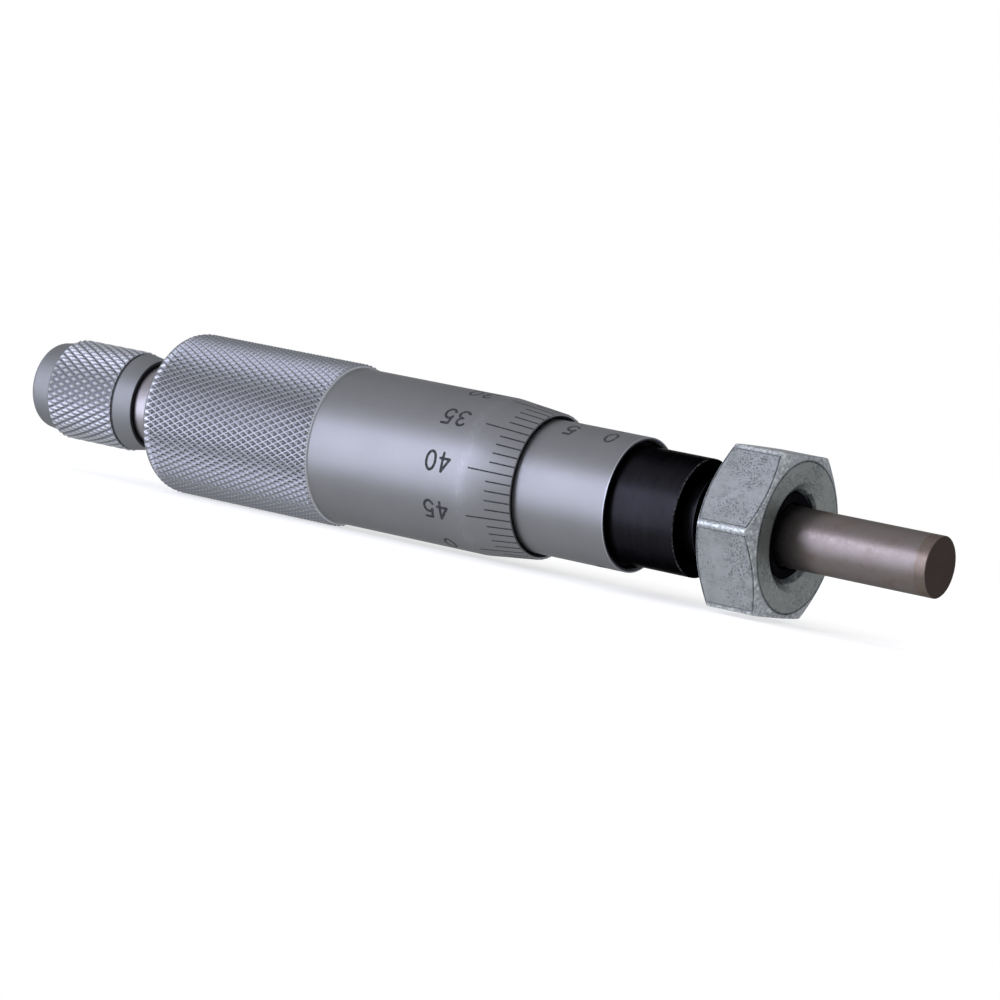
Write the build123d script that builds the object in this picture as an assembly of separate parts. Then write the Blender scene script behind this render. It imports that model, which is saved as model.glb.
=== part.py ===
"""Micrometer head, 0 to 25 mm, with a ratchet stop and a hexagon clamping nut.

The axis lies along X and +X points to the measuring face. The origin is on the axis, in the
plane of the stem's shoulder. +Z is up. Millimetres throughout.
"""
from math import cos, radians, sin, tan
import os

from build123d import *

# Measuring screw
TRAVEL = 25.0
READING = 8.27
SPINDLE_D = 6.5
SPINDLE_AHEAD_OF_EDGE = 47.35
SCREW_RISE = 0.35
SCREW_D = SPINDLE_D + 2 * SCREW_RISE
SCREW_NUT_LENGTH = 12.0
SCREW_MARGIN = 0.5
SCREW_RELIEF_LENGTH = 1.0
SCREW_RELIEF_DEPTH = 0.1
TIP_THICKNESS = 1.3
TIP_BEVEL = 0.08

# Stem
STEM_D = 12.7
STEM_LENGTH = 8.0
STEM_EDGE = 0.1
NOSE_D = 10.0
NOSE_LENGTH = 10.3
NOSE_CHAMFER = 0.45
NOSE_RELIEF_DEPTH = 0.6
NOSE_RELIEF_WIDTH = 1.1
GUIDE_CLEARANCE = 0.02
GUIDE_MOUTH_CHAMFER = 0.3
SCREW_CLEARANCE = 0.04
SCREW_CAVITY_GAP = 0.5
MOUTH_RELIEF_DEPTH = 0.3
SEAT_LENGTH = 8.0
WAIST_DEPTH = 0.4
BARREL_D = 10.8
TAPER_LENGTH = 6.5
TAPER_DROP = 0.25
SLOT_COUNT = 3
SLOT_WIDTH = 0.6
SLOT_LENGTH = 9.5

# Adjusting nut on the split end of the stem
ADJUSTER_WALL = 1.2
ADJUSTER_LENGTH = 4.8
ADJUSTER_SETBACK = 0.8
ADJUSTER_CLEARANCE = 0.02
ADJUSTER_NOTCHES = 4
ADJUSTER_NOTCH_WIDTH = 1.4
ADJUSTER_NOTCH_DEPTH = 1.2
ADJUSTER_CHAMFER = 0.4

# Graduated sleeve
SLEEVE_GAP = 0.5
SLEEVE_BORE_D = STEM_D + 2 * SLEEVE_GAP
SLEEVE_WALL = 0.4
SLEEVE_D = SLEEVE_BORE_D + 2 * SLEEVE_WALL
SLEEVE_CLEARANCE = 0.02
SLEEVE_MOUTH = 1.0
SLEEVE_EDGE = 0.12
SLEEVE_TAIL = 2.0
ZERO_SETBACK = 3.03
INDEX_ANGLE = 82.0
SPANNER_HOLE_D = 1.7
SPANNER_HOLE_SETBACK = 2.45

# Thimble
THIMBLE_LENGTH = 49.2
THIMBLE_GAP = 0.2
THIMBLE_BORE_D = SLEEVE_D + 2 * THIMBLE_GAP
THIMBLE_EDGE_WALL = 0.47
THIMBLE_EDGE_D = THIMBLE_BORE_D + 2 * THIMBLE_EDGE_WALL
THIMBLE_BEVEL_RISE = 0.68
THIMBLE_BEVEL_LENGTH = 6.05
THIMBLE_D = THIMBLE_EDGE_D + 2 * THIMBLE_BEVEL_RISE
THIMBLE_KNURL_RISE = 0.45
THIMBLE_KNURL_D = THIMBLE_D + 2 * THIMBLE_KNURL_RISE
THIMBLE_KNURL_SETBACK = 25.9
THIMBLE_BACK_RADIUS = 1.8
HUB_LENGTH = 8.0
HUB_GAP = 0.95
HUB_BACK_CHAMFER = 0.3
CONE_STEP = 0.1
CONE_FRONT_D = SCREW_D - 2 * CONE_STEP
CONE_TAPER = 0.5
CONE_BACK_D = CONE_FRONT_D - 2 * CONE_TAPER
CONE_CLEARANCE = 0.03
SPINDLE_END_RECESS = 1.0

# Ratchet shaft, which clamps the thimble on the spindle's cone
COLLAR_D = 9.12
COLLAR_EDGE = 0.2
COLLAR_IN_KNOB = 1.5
SHANK_D = 3.2
SHANK_LENGTH = 8.0
SHANK_CLEARANCE = 0.05
TAPPED_HOLE_DEPTH = SHANK_LENGTH
POST_D = 4.0
POST_FLAT_DEPTH = 0.35
POST_CLEARANCE = 0.03
END_PLAY = 0.05

# Ratchet knob
KNOB_GAP = 4.1
KNOB_LENGTH = 15.0
KNOB_COLLAR_GAP = 0.19
KNOB_BORE_D = COLLAR_D + 2 * KNOB_COLLAR_GAP
KNOB_FRONT_WALL = 0.35
KNOB_FRONT_D = KNOB_BORE_D + 2 * KNOB_FRONT_WALL
KNOB_BAND_RISE = 0.4
KNOB_BAND_D = KNOB_FRONT_D + 2 * KNOB_BAND_RISE
KNOB_BAND_LENGTH = 2.3
KNOB_GROOVE_DEPTH = 0.25
KNOB_GROOVE_WIDTH = 0.3
KNOB_KNURL_RISE = 0.18
KNOB_KNURL_D = KNOB_BAND_D + 2 * KNOB_KNURL_RISE
KNOB_KNURL_LENGTH = 8.8
KNOB_STEP_LENGTH = 0.45
KNOB_STEP_DEPTH = 0.43
KNOB_NECK_D = KNOB_KNURL_D - 2 * KNOB_STEP_DEPTH
KNOB_NOSE_DROP = 0.325
KNOB_NOSE_RADIUS = 1.3
KNOB_BOTTOM = 4.1

# Ratchet wheels and their spring
RATCHET_TEETH = 20
TOOTH_HEIGHT = 0.5
TOOTH_LIFT = 0.06
TOOTH_ROOT = 0.2
TEETH_MARGIN = 0.9
WHEEL_THICKNESS = 1.9
FIXED_WHEEL_CLEARANCE = 0.01
FIXED_WHEEL_BORE_GAP = 0.3
SLIDING_WHEEL_GAP = 0.35
SLIDING_WHEEL_D = KNOB_BORE_D - 2 * SLIDING_WHEEL_GAP
SPRING_WIRE_D = 0.6
SPRING_WIRE_SIDES = 6
SPRING_TURNS = 4
SPRING_GAP = 0.7
SPRING_SEAT = 0.02

# End screw of the knob
SCREW_HEAD_D = 5.4
SCREW_HEAD_THICKNESS = 1.2
SCREW_HEAD_CHAMFER = 0.25
SCREW_POCKET_GAP = 0.4
SCREW_POCKET_DEPTH = 1.9
SCREW_SLOT_WIDTH = 0.7
SCREW_SLOT_DEPTH = 0.55
END_SCREW_D = 1.9
END_SCREW_LENGTH = 4.5
END_SCREW_CLEARANCE = 0.04

# Hexagon clamping nut
NUT_ACROSS_FLATS = 17.0
NUT_THICKNESS = 7.25
NUT_STANDOFF = 4.05
NUT_CLEARANCE = 0.03
NUT_FACE_INSET = 0.5
NUT_CHAMFER_ANGLE = 25.0
NUT_COUNTERSINK = 0.67
NUT_COUNTERSINK_ANGLE = 50.0

# Facets in the rounding of a rear edge
ROUNDING_STEPS = 3

# Stations along the axis, worked out from the sizes above
sleeve_front = -STEM_LENGTH
zero_mark = sleeve_front - ZERO_SETBACK
sleeve_back = zero_mark - TRAVEL - SLEEVE_TAIL
thimble_edge = zero_mark - READING
thimble_back = thimble_edge - THIMBLE_LENGTH
hub_front = thimble_back + HUB_LENGTH
stem_back = zero_mark - THIMBLE_LENGTH + HUB_LENGTH + HUB_GAP
screw_nut_front = stem_back + SCREW_NUT_LENGTH
screw_front = screw_nut_front + TRAVEL - READING + SCREW_MARGIN
screw_relief_front = screw_front + READING + SCREW_MARGIN + SCREW_RELIEF_LENGTH
spindle_tip = thimble_edge + SPINDLE_AHEAD_OF_EDGE
spindle_back = thimble_back + SPINDLE_END_RECESS
knob_front = thimble_back - KNOB_GAP
knob_back = knob_front - KNOB_LENGTH
collar_back = knob_front - COLLAR_IN_KNOB
knob_floor = knob_back + KNOB_BOTTOM
fixed_root = knob_floor + WHEEL_THICKNESS
sliding_tip = fixed_root + TOOTH_HEIGHT + TOOTH_LIFT
sliding_root = sliding_tip + TOOTH_HEIGHT
sliding_front = sliding_root + WHEEL_THICKNESS
pocket_floor = knob_back + SCREW_POCKET_DEPTH
post_back = pocket_floor - END_PLAY


def turned(*outline):
    """Return the solid turned about the X axis from an outline of (x, diameter) points."""
    points = [(x, diameter / 2) for x, diameter in outline]
    return revolve(make_face(Polyline(*points, close=True)), axis=Axis.X)


def rod(start, end, diameter):
    """Return a plain cylinder along the X axis between two stations."""
    return turned((start, 0), (end, 0), (end, diameter), (start, diameter))


def rim(solid, station, diameter):
    """Return the round edge of a solid at a station and a diameter."""
    edges = solid.edges().filter_by(GeomType.CIRCLE)
    return min(edges, key=lambda e: abs(e.center().X - station) + abs(e.radius - diameter / 2))


def around(angle, piece):
    """Return a piece turned about the X axis, from +Y towards +Z."""
    return Rotation(angle, 0, 0) * piece


def rounding(station, diameter, radius):
    """Return outline points that round an edge of a diameter towards its end at a station."""
    points = []
    for step in range(ROUNDING_STEPS + 1):
        turn = radians(90 / ROUNDING_STEPS * step)
        points.append((station + radius * (1 - sin(turn)), diameter - 2 * radius * (1 - cos(turn))))
    return points


def make_stem():
    """Return the one-piece body: threaded nose, shoulder, stem, sleeve seats and split end."""
    seat_d = SLEEVE_BORE_D - 2 * SLEEVE_CLEARANCE
    waist_d = SLEEVE_BORE_D - 2 * WAIST_DEPTH
    seat_front = sleeve_front - SLEEVE_MOUTH
    nose_end_d = NOSE_D - 2 * NOSE_CHAMFER
    nose_relief_d = NOSE_D - 2 * NOSE_RELIEF_DEPTH
    mouth_relief_d = STEM_D - 2 * MOUTH_RELIEF_DEPTH
    body = turned(
        (NOSE_LENGTH, 0), (NOSE_LENGTH, nose_end_d), (NOSE_LENGTH - NOSE_CHAMFER, NOSE_D),
        (NOSE_RELIEF_WIDTH, NOSE_D), (NOSE_RELIEF_WIDTH, nose_relief_d), (0, nose_relief_d),
        (0, STEM_D - 2 * STEM_EDGE), (-STEM_EDGE, STEM_D), (sleeve_front, STEM_D),
        (sleeve_front, mouth_relief_d), (seat_front, mouth_relief_d), (seat_front, seat_d),
        (seat_front - SEAT_LENGTH, seat_d), (seat_front - SEAT_LENGTH, waist_d),
        (sleeve_back + SEAT_LENGTH, waist_d), (sleeve_back + SEAT_LENGTH, seat_d),
        (sleeve_back, seat_d), (sleeve_back, BARREL_D), (stem_back + TAPER_LENGTH, BARREL_D),
        (stem_back, BARREL_D - 2 * TAPER_DROP), (stem_back, 0))
    guide_d = SPINDLE_D + 2 * GUIDE_CLEARANCE
    screw_bore_d = SCREW_D + 2 * SCREW_CLEARANCE
    cavity_d = SCREW_D + 2 * SCREW_CAVITY_GAP
    mouth_d = guide_d + 2 * GUIDE_MOUTH_CHAMFER
    bore = turned(
        (NOSE_LENGTH, 0), (NOSE_LENGTH, mouth_d), (NOSE_LENGTH - GUIDE_MOUTH_CHAMFER, guide_d),
        (screw_relief_front, guide_d), (screw_relief_front, cavity_d),
        (screw_nut_front, cavity_d), (screw_nut_front, screw_bore_d),
        (stem_back, screw_bore_d), (stem_back, 0))
    stem = body - bore
    slot = Pos(stem_back + SLOT_LENGTH / 2, BARREL_D / 2, 0) * Box(SLOT_LENGTH, BARREL_D, SLOT_WIDTH)
    for number in range(SLOT_COUNT):
        stem -= around(360 / SLOT_COUNT * number, slot)
    return stem


def make_adjusting_nut():
    """Return the notched ring that closes the split end of the stem on the screw."""
    back = stem_back + ADJUSTER_SETBACK
    front = back + ADJUSTER_LENGTH
    slope = 2 * TAPER_DROP / TAPER_LENGTH
    back_bore = BARREL_D - 2 * TAPER_DROP + slope * ADJUSTER_SETBACK + 2 * ADJUSTER_CLEARANCE
    front_bore = back_bore + slope * ADJUSTER_LENGTH
    outer_d = BARREL_D + 2 * ADJUSTER_WALL
    ring = turned((back, back_bore), (front, front_bore), (front, outer_d), (back, outer_d))
    ring = chamfer([rim(ring, back, outer_d), rim(ring, front, outer_d)], ADJUSTER_CHAMFER)
    notch = Pos(back, outer_d / 2, 0) * Box(
        2 * ADJUSTER_NOTCH_DEPTH, 3 * ADJUSTER_WALL, ADJUSTER_NOTCH_WIDTH)
    for number in range(ADJUSTER_NOTCHES):
        ring -= around(360 / ADJUSTER_NOTCHES * number, notch)
    return ring


def make_sleeve():
    """Return the thin graduated sleeve with its spanner hole, opposite the index line."""
    tube = rod(sleeve_back, sleeve_front, SLEEVE_D) - rod(sleeve_back, sleeve_front, SLEEVE_BORE_D)
    tube = chamfer(rim(tube, sleeve_front, SLEEVE_BORE_D), SLEEVE_EDGE)
    hole = Pos(sleeve_front - SPANNER_HOLE_SETBACK, SLEEVE_D / 2, 0) * (
        Rotation(90, 0, 0) * Cylinder(SPANNER_HOLE_D / 2, 4 * SLEEVE_WALL))
    return tube - around(INDEX_ANGLE + 180, hole)


def make_spindle():
    """Return the spindle: guided rod, screw, thimble cone and tapped end."""
    screw_back = hub_front + CONE_CLEARANCE
    relief_front = screw_front + SCREW_RELIEF_LENGTH
    rod_front = spindle_tip - TIP_THICKNESS
    relief_d = SPINDLE_D - 2 * SCREW_RELIEF_DEPTH
    body = turned(
        (rod_front, 0), (rod_front, SPINDLE_D), (relief_front, SPINDLE_D),
        (relief_front, relief_d), (screw_front, relief_d), (screw_front, SCREW_D),
        (screw_back, SCREW_D), (screw_back, CONE_FRONT_D), (hub_front, CONE_FRONT_D),
        (spindle_back, CONE_BACK_D), (spindle_back, 0))
    tapped_d = SHANK_D + 2 * SHANK_CLEARANCE
    return body - rod(spindle_back, spindle_back + TAPPED_HOLE_DEPTH, tapped_d)


def make_carbide_tip():
    """Return the carbide disc brazed on the spindle, which is the measuring face."""
    disc = rod(spindle_tip - TIP_THICKNESS, spindle_tip, SPINDLE_D)
    return chamfer(rim(disc, spindle_tip, SPINDLE_D), TIP_BEVEL)


def make_thimble():
    """Return the thimble: bevelled edge, plain barrel, knurled grip and bored hub."""
    knurl_front = thimble_edge - THIMBLE_KNURL_SETBACK
    shell = turned(
        (thimble_edge, 0), (thimble_edge, THIMBLE_EDGE_D),
        (thimble_edge - THIMBLE_BEVEL_LENGTH, THIMBLE_D), (knurl_front, THIMBLE_D),
        (knurl_front - THIMBLE_KNURL_RISE, THIMBLE_KNURL_D),
        *rounding(thimble_back, THIMBLE_KNURL_D, THIMBLE_BACK_RADIUS), (thimble_back, 0))
    cone_end_d = CONE_BACK_D + 2 * CONE_CLEARANCE
    cavity = turned(
        (thimble_edge, 0), (thimble_edge, THIMBLE_BORE_D), (hub_front, THIMBLE_BORE_D),
        (hub_front, CONE_FRONT_D + 2 * CONE_CLEARANCE), (spindle_back, cone_end_d),
        (thimble_back + HUB_BACK_CHAMFER, cone_end_d),
        (thimble_back, cone_end_d + 2 * HUB_BACK_CHAMFER), (thimble_back, 0))
    return shell - cavity


def make_ratchet_shaft():
    """Return the shaft that clamps the thimble and carries the ratchet and knob."""
    shaft = turned(
        (thimble_back + SHANK_LENGTH, 0), (thimble_back + SHANK_LENGTH, SHANK_D),
        (thimble_back, SHANK_D), (thimble_back, COLLAR_D), (collar_back, COLLAR_D),
        (collar_back, POST_D), (post_back, POST_D), (post_back, 0))
    shaft = chamfer(rim(shaft, collar_back, COLLAR_D), COLLAR_EDGE)
    flat = Pos((sliding_front + fixed_root) / 2, 0, 0) * Box(
        sliding_front - fixed_root, POST_D, 2 * POST_FLAT_DEPTH)
    for side in (1, -1):
        shaft -= Pos(0, 0, side * POST_D / 2) * flat
    tapped_d = END_SCREW_D + 2 * END_SCREW_CLEARANCE
    return shaft - rod(post_back, post_back + END_SCREW_LENGTH, tapped_d)


def make_tooth(inner, outer):
    """Return the flat-sided solid between an inner and an outer outline of four corners."""
    faces = [make_face(Polyline(*inner, close=True)), make_face(Polyline(*outer, close=True))]
    for this in range(4):
        after = (this + 1) % 4
        side = Polyline(inner[this], inner[after], outer[after], outer[this], close=True)
        faces.append(make_face(side))
    return Solid(Shell(faces))


def make_teeth(root, tip, steep_first):
    """Return saw teeth in a ring, which rise along X from the root plane to the tip plane.

    Each tooth gets narrower and lower towards the axis and starts a little inside its wheel. Its
    steep side is at its lower angle if steep_first is true, and at its higher angle otherwise.
    """
    step = 360 / RATCHET_TEETH
    buried = root - TOOTH_ROOT if tip > root else root + TOOTH_ROOT
    outer_radius = SLIDING_WHEEL_D / 2
    teeth = []
    for number in range(RATCHET_TEETH):
        low = step * number
        high = low + step
        outlines = []
        for radius in (POST_D / 2 + TEETH_MARGIN, outer_radius):
            crest = root + (tip - root) * radius / outer_radius
            heights = (crest, root) if steep_first else (root, crest)
            outline = [(buried, low), (heights[0], low), (heights[1], high), (buried, high)]
            outlines.append([(x, radius * cos(radians(a)), radius * sin(radians(a))) for x, a in outline])
        teeth.append(make_tooth(*outlines))
    return teeth


def make_fixed_wheel():
    """Return the ratchet wheel pressed in the bottom of the knob, with teeth towards +X."""
    outer_d = KNOB_BORE_D - 2 * FIXED_WHEEL_CLEARANCE
    bore_d = POST_D + 2 * FIXED_WHEEL_BORE_GAP
    ring = rod(knob_floor, fixed_root, outer_d) - rod(knob_floor, fixed_root, bore_d)
    for tooth in make_teeth(fixed_root, fixed_root + TOOTH_HEIGHT, True):
        ring += tooth
    return ring


def make_sliding_wheel():
    """Return the ratchet wheel that is keyed on the post and slides, with teeth towards -X."""
    ring = rod(sliding_root, sliding_front, SLIDING_WHEEL_D)
    for tooth in make_teeth(sliding_root, sliding_tip, False):
        ring += tooth
    bore_d = POST_D + 2 * POST_CLEARANCE
    keyed = rod(sliding_tip, sliding_front, bore_d)
    keyed &= Pos((sliding_tip + sliding_front) / 2, 0, 0) * Box(
        sliding_front - sliding_tip, bore_d, bore_d - 2 * POST_FLAT_DEPTH)
    return ring - keyed


def make_spring():
    """Return the helical spring between the shaft's collar and the sliding wheel."""
    start = sliding_front + SPRING_WIRE_D / 2 + SPRING_SEAT
    length = collar_back - sliding_front - SPRING_WIRE_D - 2 * SPRING_SEAT
    coil_radius = POST_D / 2 + SPRING_GAP + SPRING_WIRE_D / 2
    path = Pos(start, 0, 0) * (Rotation(0, 90, 0) * Helix(length / SPRING_TURNS, length, coil_radius))
    wire = RegularPolygon(SPRING_WIRE_D / 2, SPRING_WIRE_SIDES)
    section = Plane(origin=path @ 0, z_dir=path % 0) * wire
    return sweep(section, path=path)


def make_knob():
    """Return the knob: a cup with a knurled grip, a front band, a nose and a screw pocket."""
    band_back = knob_front - KNOB_BAND_LENGTH
    knurl_front = band_back - KNOB_GROOVE_WIDTH
    knurl_back = knurl_front - KNOB_KNURL_LENGTH
    groove_d = KNOB_BAND_D - 2 * KNOB_GROOVE_DEPTH
    nose_d = KNOB_NECK_D - 2 * KNOB_NOSE_DROP
    body = turned(
        (knob_front, 0), (knob_front, KNOB_FRONT_D), (band_back, KNOB_BAND_D), (band_back, groove_d),
        (knurl_front, groove_d), (knurl_front, KNOB_KNURL_D), (knurl_back, KNOB_KNURL_D),
        (knurl_back - KNOB_STEP_LENGTH, KNOB_NECK_D),
        *rounding(knob_back, nose_d, KNOB_NOSE_RADIUS), (knob_back, 0))
    post_bore_d = POST_D + 2 * POST_CLEARANCE
    pocket_d = SCREW_HEAD_D + 2 * SCREW_POCKET_GAP
    hollow = turned(
        (knob_front, 0), (knob_front, KNOB_BORE_D), (knob_floor, KNOB_BORE_D),
        (knob_floor, post_bore_d), (pocket_floor, post_bore_d),
        (pocket_floor, pocket_d), (knob_back, pocket_d), (knob_back, 0))
    return body - hollow


def make_knob_screw():
    """Return the slotted screw in the end of the post, whose head keeps the knob on."""
    head_back = post_back - SCREW_HEAD_THICKNESS
    screw = turned(
        (post_back + END_SCREW_LENGTH - END_SCREW_CLEARANCE, 0),
        (post_back + END_SCREW_LENGTH - END_SCREW_CLEARANCE, END_SCREW_D), (post_back, END_SCREW_D),
        (post_back, SCREW_HEAD_D), (head_back, SCREW_HEAD_D), (head_back, 0))
    screw = chamfer(rim(screw, head_back, SCREW_HEAD_D), SCREW_HEAD_CHAMFER)
    return screw - Pos(head_back, 0, 0) * Box(2 * SCREW_SLOT_DEPTH, SCREW_HEAD_D, SCREW_SLOT_WIDTH)


def make_clamp_nut():
    """Return the hexagon nut, with one flat downwards and both ends chamfered."""
    back = NUT_STANDOFF
    front = back + NUT_THICKNESS
    corner_d = NUT_ACROSS_FLATS / cos(radians(30))
    face_d = NUT_ACROSS_FLATS - 2 * NUT_FACE_INSET
    drop = (corner_d - face_d) / 2 * tan(radians(NUT_CHAMFER_ANGLE))
    outline = RegularPolygon(NUT_ACROSS_FLATS / 2, 6, major_radius=False)
    hexagon = extrude(Plane.YZ.offset(back) * outline, NUT_THICKNESS)
    ends = turned(
        (back, 0), (back, face_d), (back + drop, corner_d), (front - drop, corner_d),
        (front, face_d), (front, 0))
    bore_d = NOSE_D + 2 * NUT_CLEARANCE
    sunk_d = bore_d + 2 * NUT_COUNTERSINK
    sink = NUT_COUNTERSINK / tan(radians(NUT_COUNTERSINK_ANGLE))
    bore = turned(
        (back, 0), (back, sunk_d), (back + sink, bore_d), (front - sink, bore_d),
        (front, sunk_d), (front, 0))
    return (hexagon & ends) - bore


NODES = {
    "stem": make_stem,
    "adjusting_nut": make_adjusting_nut,
    "sleeve": make_sleeve,
    "clamp_nut": make_clamp_nut,
    "spindle": make_spindle,
    "carbide_tip": make_carbide_tip,
    "thimble": make_thimble,
    "ratchet_shaft": make_ratchet_shaft,
    "ratchet_spring": make_spring,
    "sliding_ratchet": make_sliding_wheel,
    "fixed_ratchet": make_fixed_wheel,
    "ratchet_knob": make_knob,
    "knob_screw": make_knob_screw,
}

os.makedirs("parts", exist_ok=True)
for node, make in NODES.items():
    export_step(make(), f"parts/{node}.step")
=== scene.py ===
"""Micrometer head: its finishes, knurls, threads and scales, made around its fixed frame.

The axis lies along X and +X points to the measuring face. Blender works in metres, and the sizes here
are in millimetres: a mesh is made in millimetres and scaled once, when its piece is finished.
Angles round the axis are in degrees from +Y towards +Z.
"""

from dataclasses import dataclass, field
from enum import Enum
import logging
from math import atan2, ceil, cos, degrees, floor, hypot, pi, radians, sin, sqrt, tan
from typing import Callable, Iterable

import bmesh
import bpy
from mathutils import Matrix, Vector


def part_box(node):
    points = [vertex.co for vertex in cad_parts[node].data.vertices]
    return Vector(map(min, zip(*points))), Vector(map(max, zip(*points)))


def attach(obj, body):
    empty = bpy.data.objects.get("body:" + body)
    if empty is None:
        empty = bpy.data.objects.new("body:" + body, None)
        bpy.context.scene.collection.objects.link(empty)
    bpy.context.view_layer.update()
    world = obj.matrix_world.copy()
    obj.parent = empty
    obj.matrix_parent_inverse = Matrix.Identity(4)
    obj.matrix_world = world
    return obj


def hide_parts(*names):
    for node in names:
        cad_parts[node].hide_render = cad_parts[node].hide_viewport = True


MM = 0.001
# Edges that turn by more than this stay sharp
SHARP_ANGLE = 40.0
# The width of the photograph and of the film that its lens is stated for
PHOTO_PIXELS = 1000.0
FILM_WIDTH = 36.0
# Where a finish has no mark, its station is far off the piece
NOWHERE = 1000.0
# The longest cut of a corner, as a share of its side, so that the cuts at the two ends never meet
LONGEST_CUT = 0.45
# How near a vertex is to a plane that it lies in, before and after its mesh is cut there
IN_PLANE = 1e-6
AT_END = 1e-5
# Points of a path that are nearer than this are one point
SAME_POINT = 1e-6
# The width of an engraved digit, as a share of its height
DIGIT_WIDTH = 0.6
WHITE = (1.0, 1.0, 1.0, 1.0)

Colour = tuple[float, float, float, float]
Outline = list[tuple[float, float]]
Stroke = list[tuple[float, float]]
Tree = bpy.types.NodeTree
Socket = bpy.types.NodeSocket
Vert = bmesh.types.BMVert
Ends = tuple[list[Vert], list[Vert]]

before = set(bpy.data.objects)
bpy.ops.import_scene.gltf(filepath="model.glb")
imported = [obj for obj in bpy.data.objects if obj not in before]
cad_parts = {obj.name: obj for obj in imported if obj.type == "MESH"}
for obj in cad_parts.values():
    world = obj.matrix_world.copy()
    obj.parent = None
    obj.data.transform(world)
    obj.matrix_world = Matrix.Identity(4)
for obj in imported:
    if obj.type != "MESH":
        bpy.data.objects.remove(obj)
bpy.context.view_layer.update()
log = logging.getLogger("micrometer_head")


def linear(hex_colour: str) -> Colour:
    """Turn an sRGB hex colour into a linear one.

    Args:
        hex_colour: six hex digits after a hash sign.

    Returns:
        Linear red, green, blue and an alpha of 1.
    """
    shares = [int(hex_colour[place:place + 2], 16) / 255 for place in (1, 3, 5)]
    red, green, blue = (s / 12.92 if s <= 0.04045 else ((s + 0.055) / 1.055) ** 2.4 for s in shares)
    return red, green, blue, 1.0


def add(tree: Tree, kind: str, inputs: dict | None = None, **settings: object) -> bpy.types.Node:
    """Add a node with its settings, and with its inputs linked or set.

    Args:
        tree: the node tree that gets the node.
        kind: the node's type name, without ShaderNode in front.
        inputs: a socket to link from or a constant, by the input's name or place.
        settings: the node's own properties.

    Returns:
        The new node.
    """
    node = tree.nodes.new("ShaderNode" + kind)
    for name, value in settings.items():
        setattr(node, name, value)
    for place, value in (inputs or {}).items():
        if isinstance(value, Socket):
            tree.links.new(value, node.inputs[place])
        else:
            node.inputs[place].default_value = value
    return node


def new_material(name: str, settings: dict) -> tuple[bpy.types.Material, bpy.types.Node]:
    """Make a material with constants on its shader's own sockets.

    Args:
        name: its name.
        settings: the constants, by the socket's name.

    Returns:
        The material and its shader.
    """
    made = bpy.data.materials.new(name)
    made.use_nodes = True
    surface = made.node_tree.nodes["Principled BSDF"]
    for socket, value in settings.items():
        surface.inputs[socket].default_value = value
    return made, surface


def station(node: str, end: int) -> float:
    """Return where a node of the frame starts (0) or ends (1) along the axis, in millimetres."""
    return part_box(node)[end].x / MM


def about_axis(x: float, radius: float, angle: float) -> tuple[float, float, float]:
    """Return the point at a station, a radius and an angle in radians."""
    return x, radius * cos(angle), radius * sin(angle)


def show(piece: bpy.types.Object) -> bpy.types.Object:
    """Put an object in the scene, and return it."""
    bpy.context.scene.collection.objects.link(piece)
    return piece


def show_mesh(name: str, mesh: bmesh.types.BMesh) -> bpy.types.Object:
    """Put a finished mesh in the scene.

    Args:
        name: the object's name.
        mesh: its mesh, which is freed.

    Returns:
        The object.
    """
    data = bpy.data.meshes.new(name)
    mesh.to_mesh(data)
    mesh.free()
    return show(bpy.data.objects.new(name, data))


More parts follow.
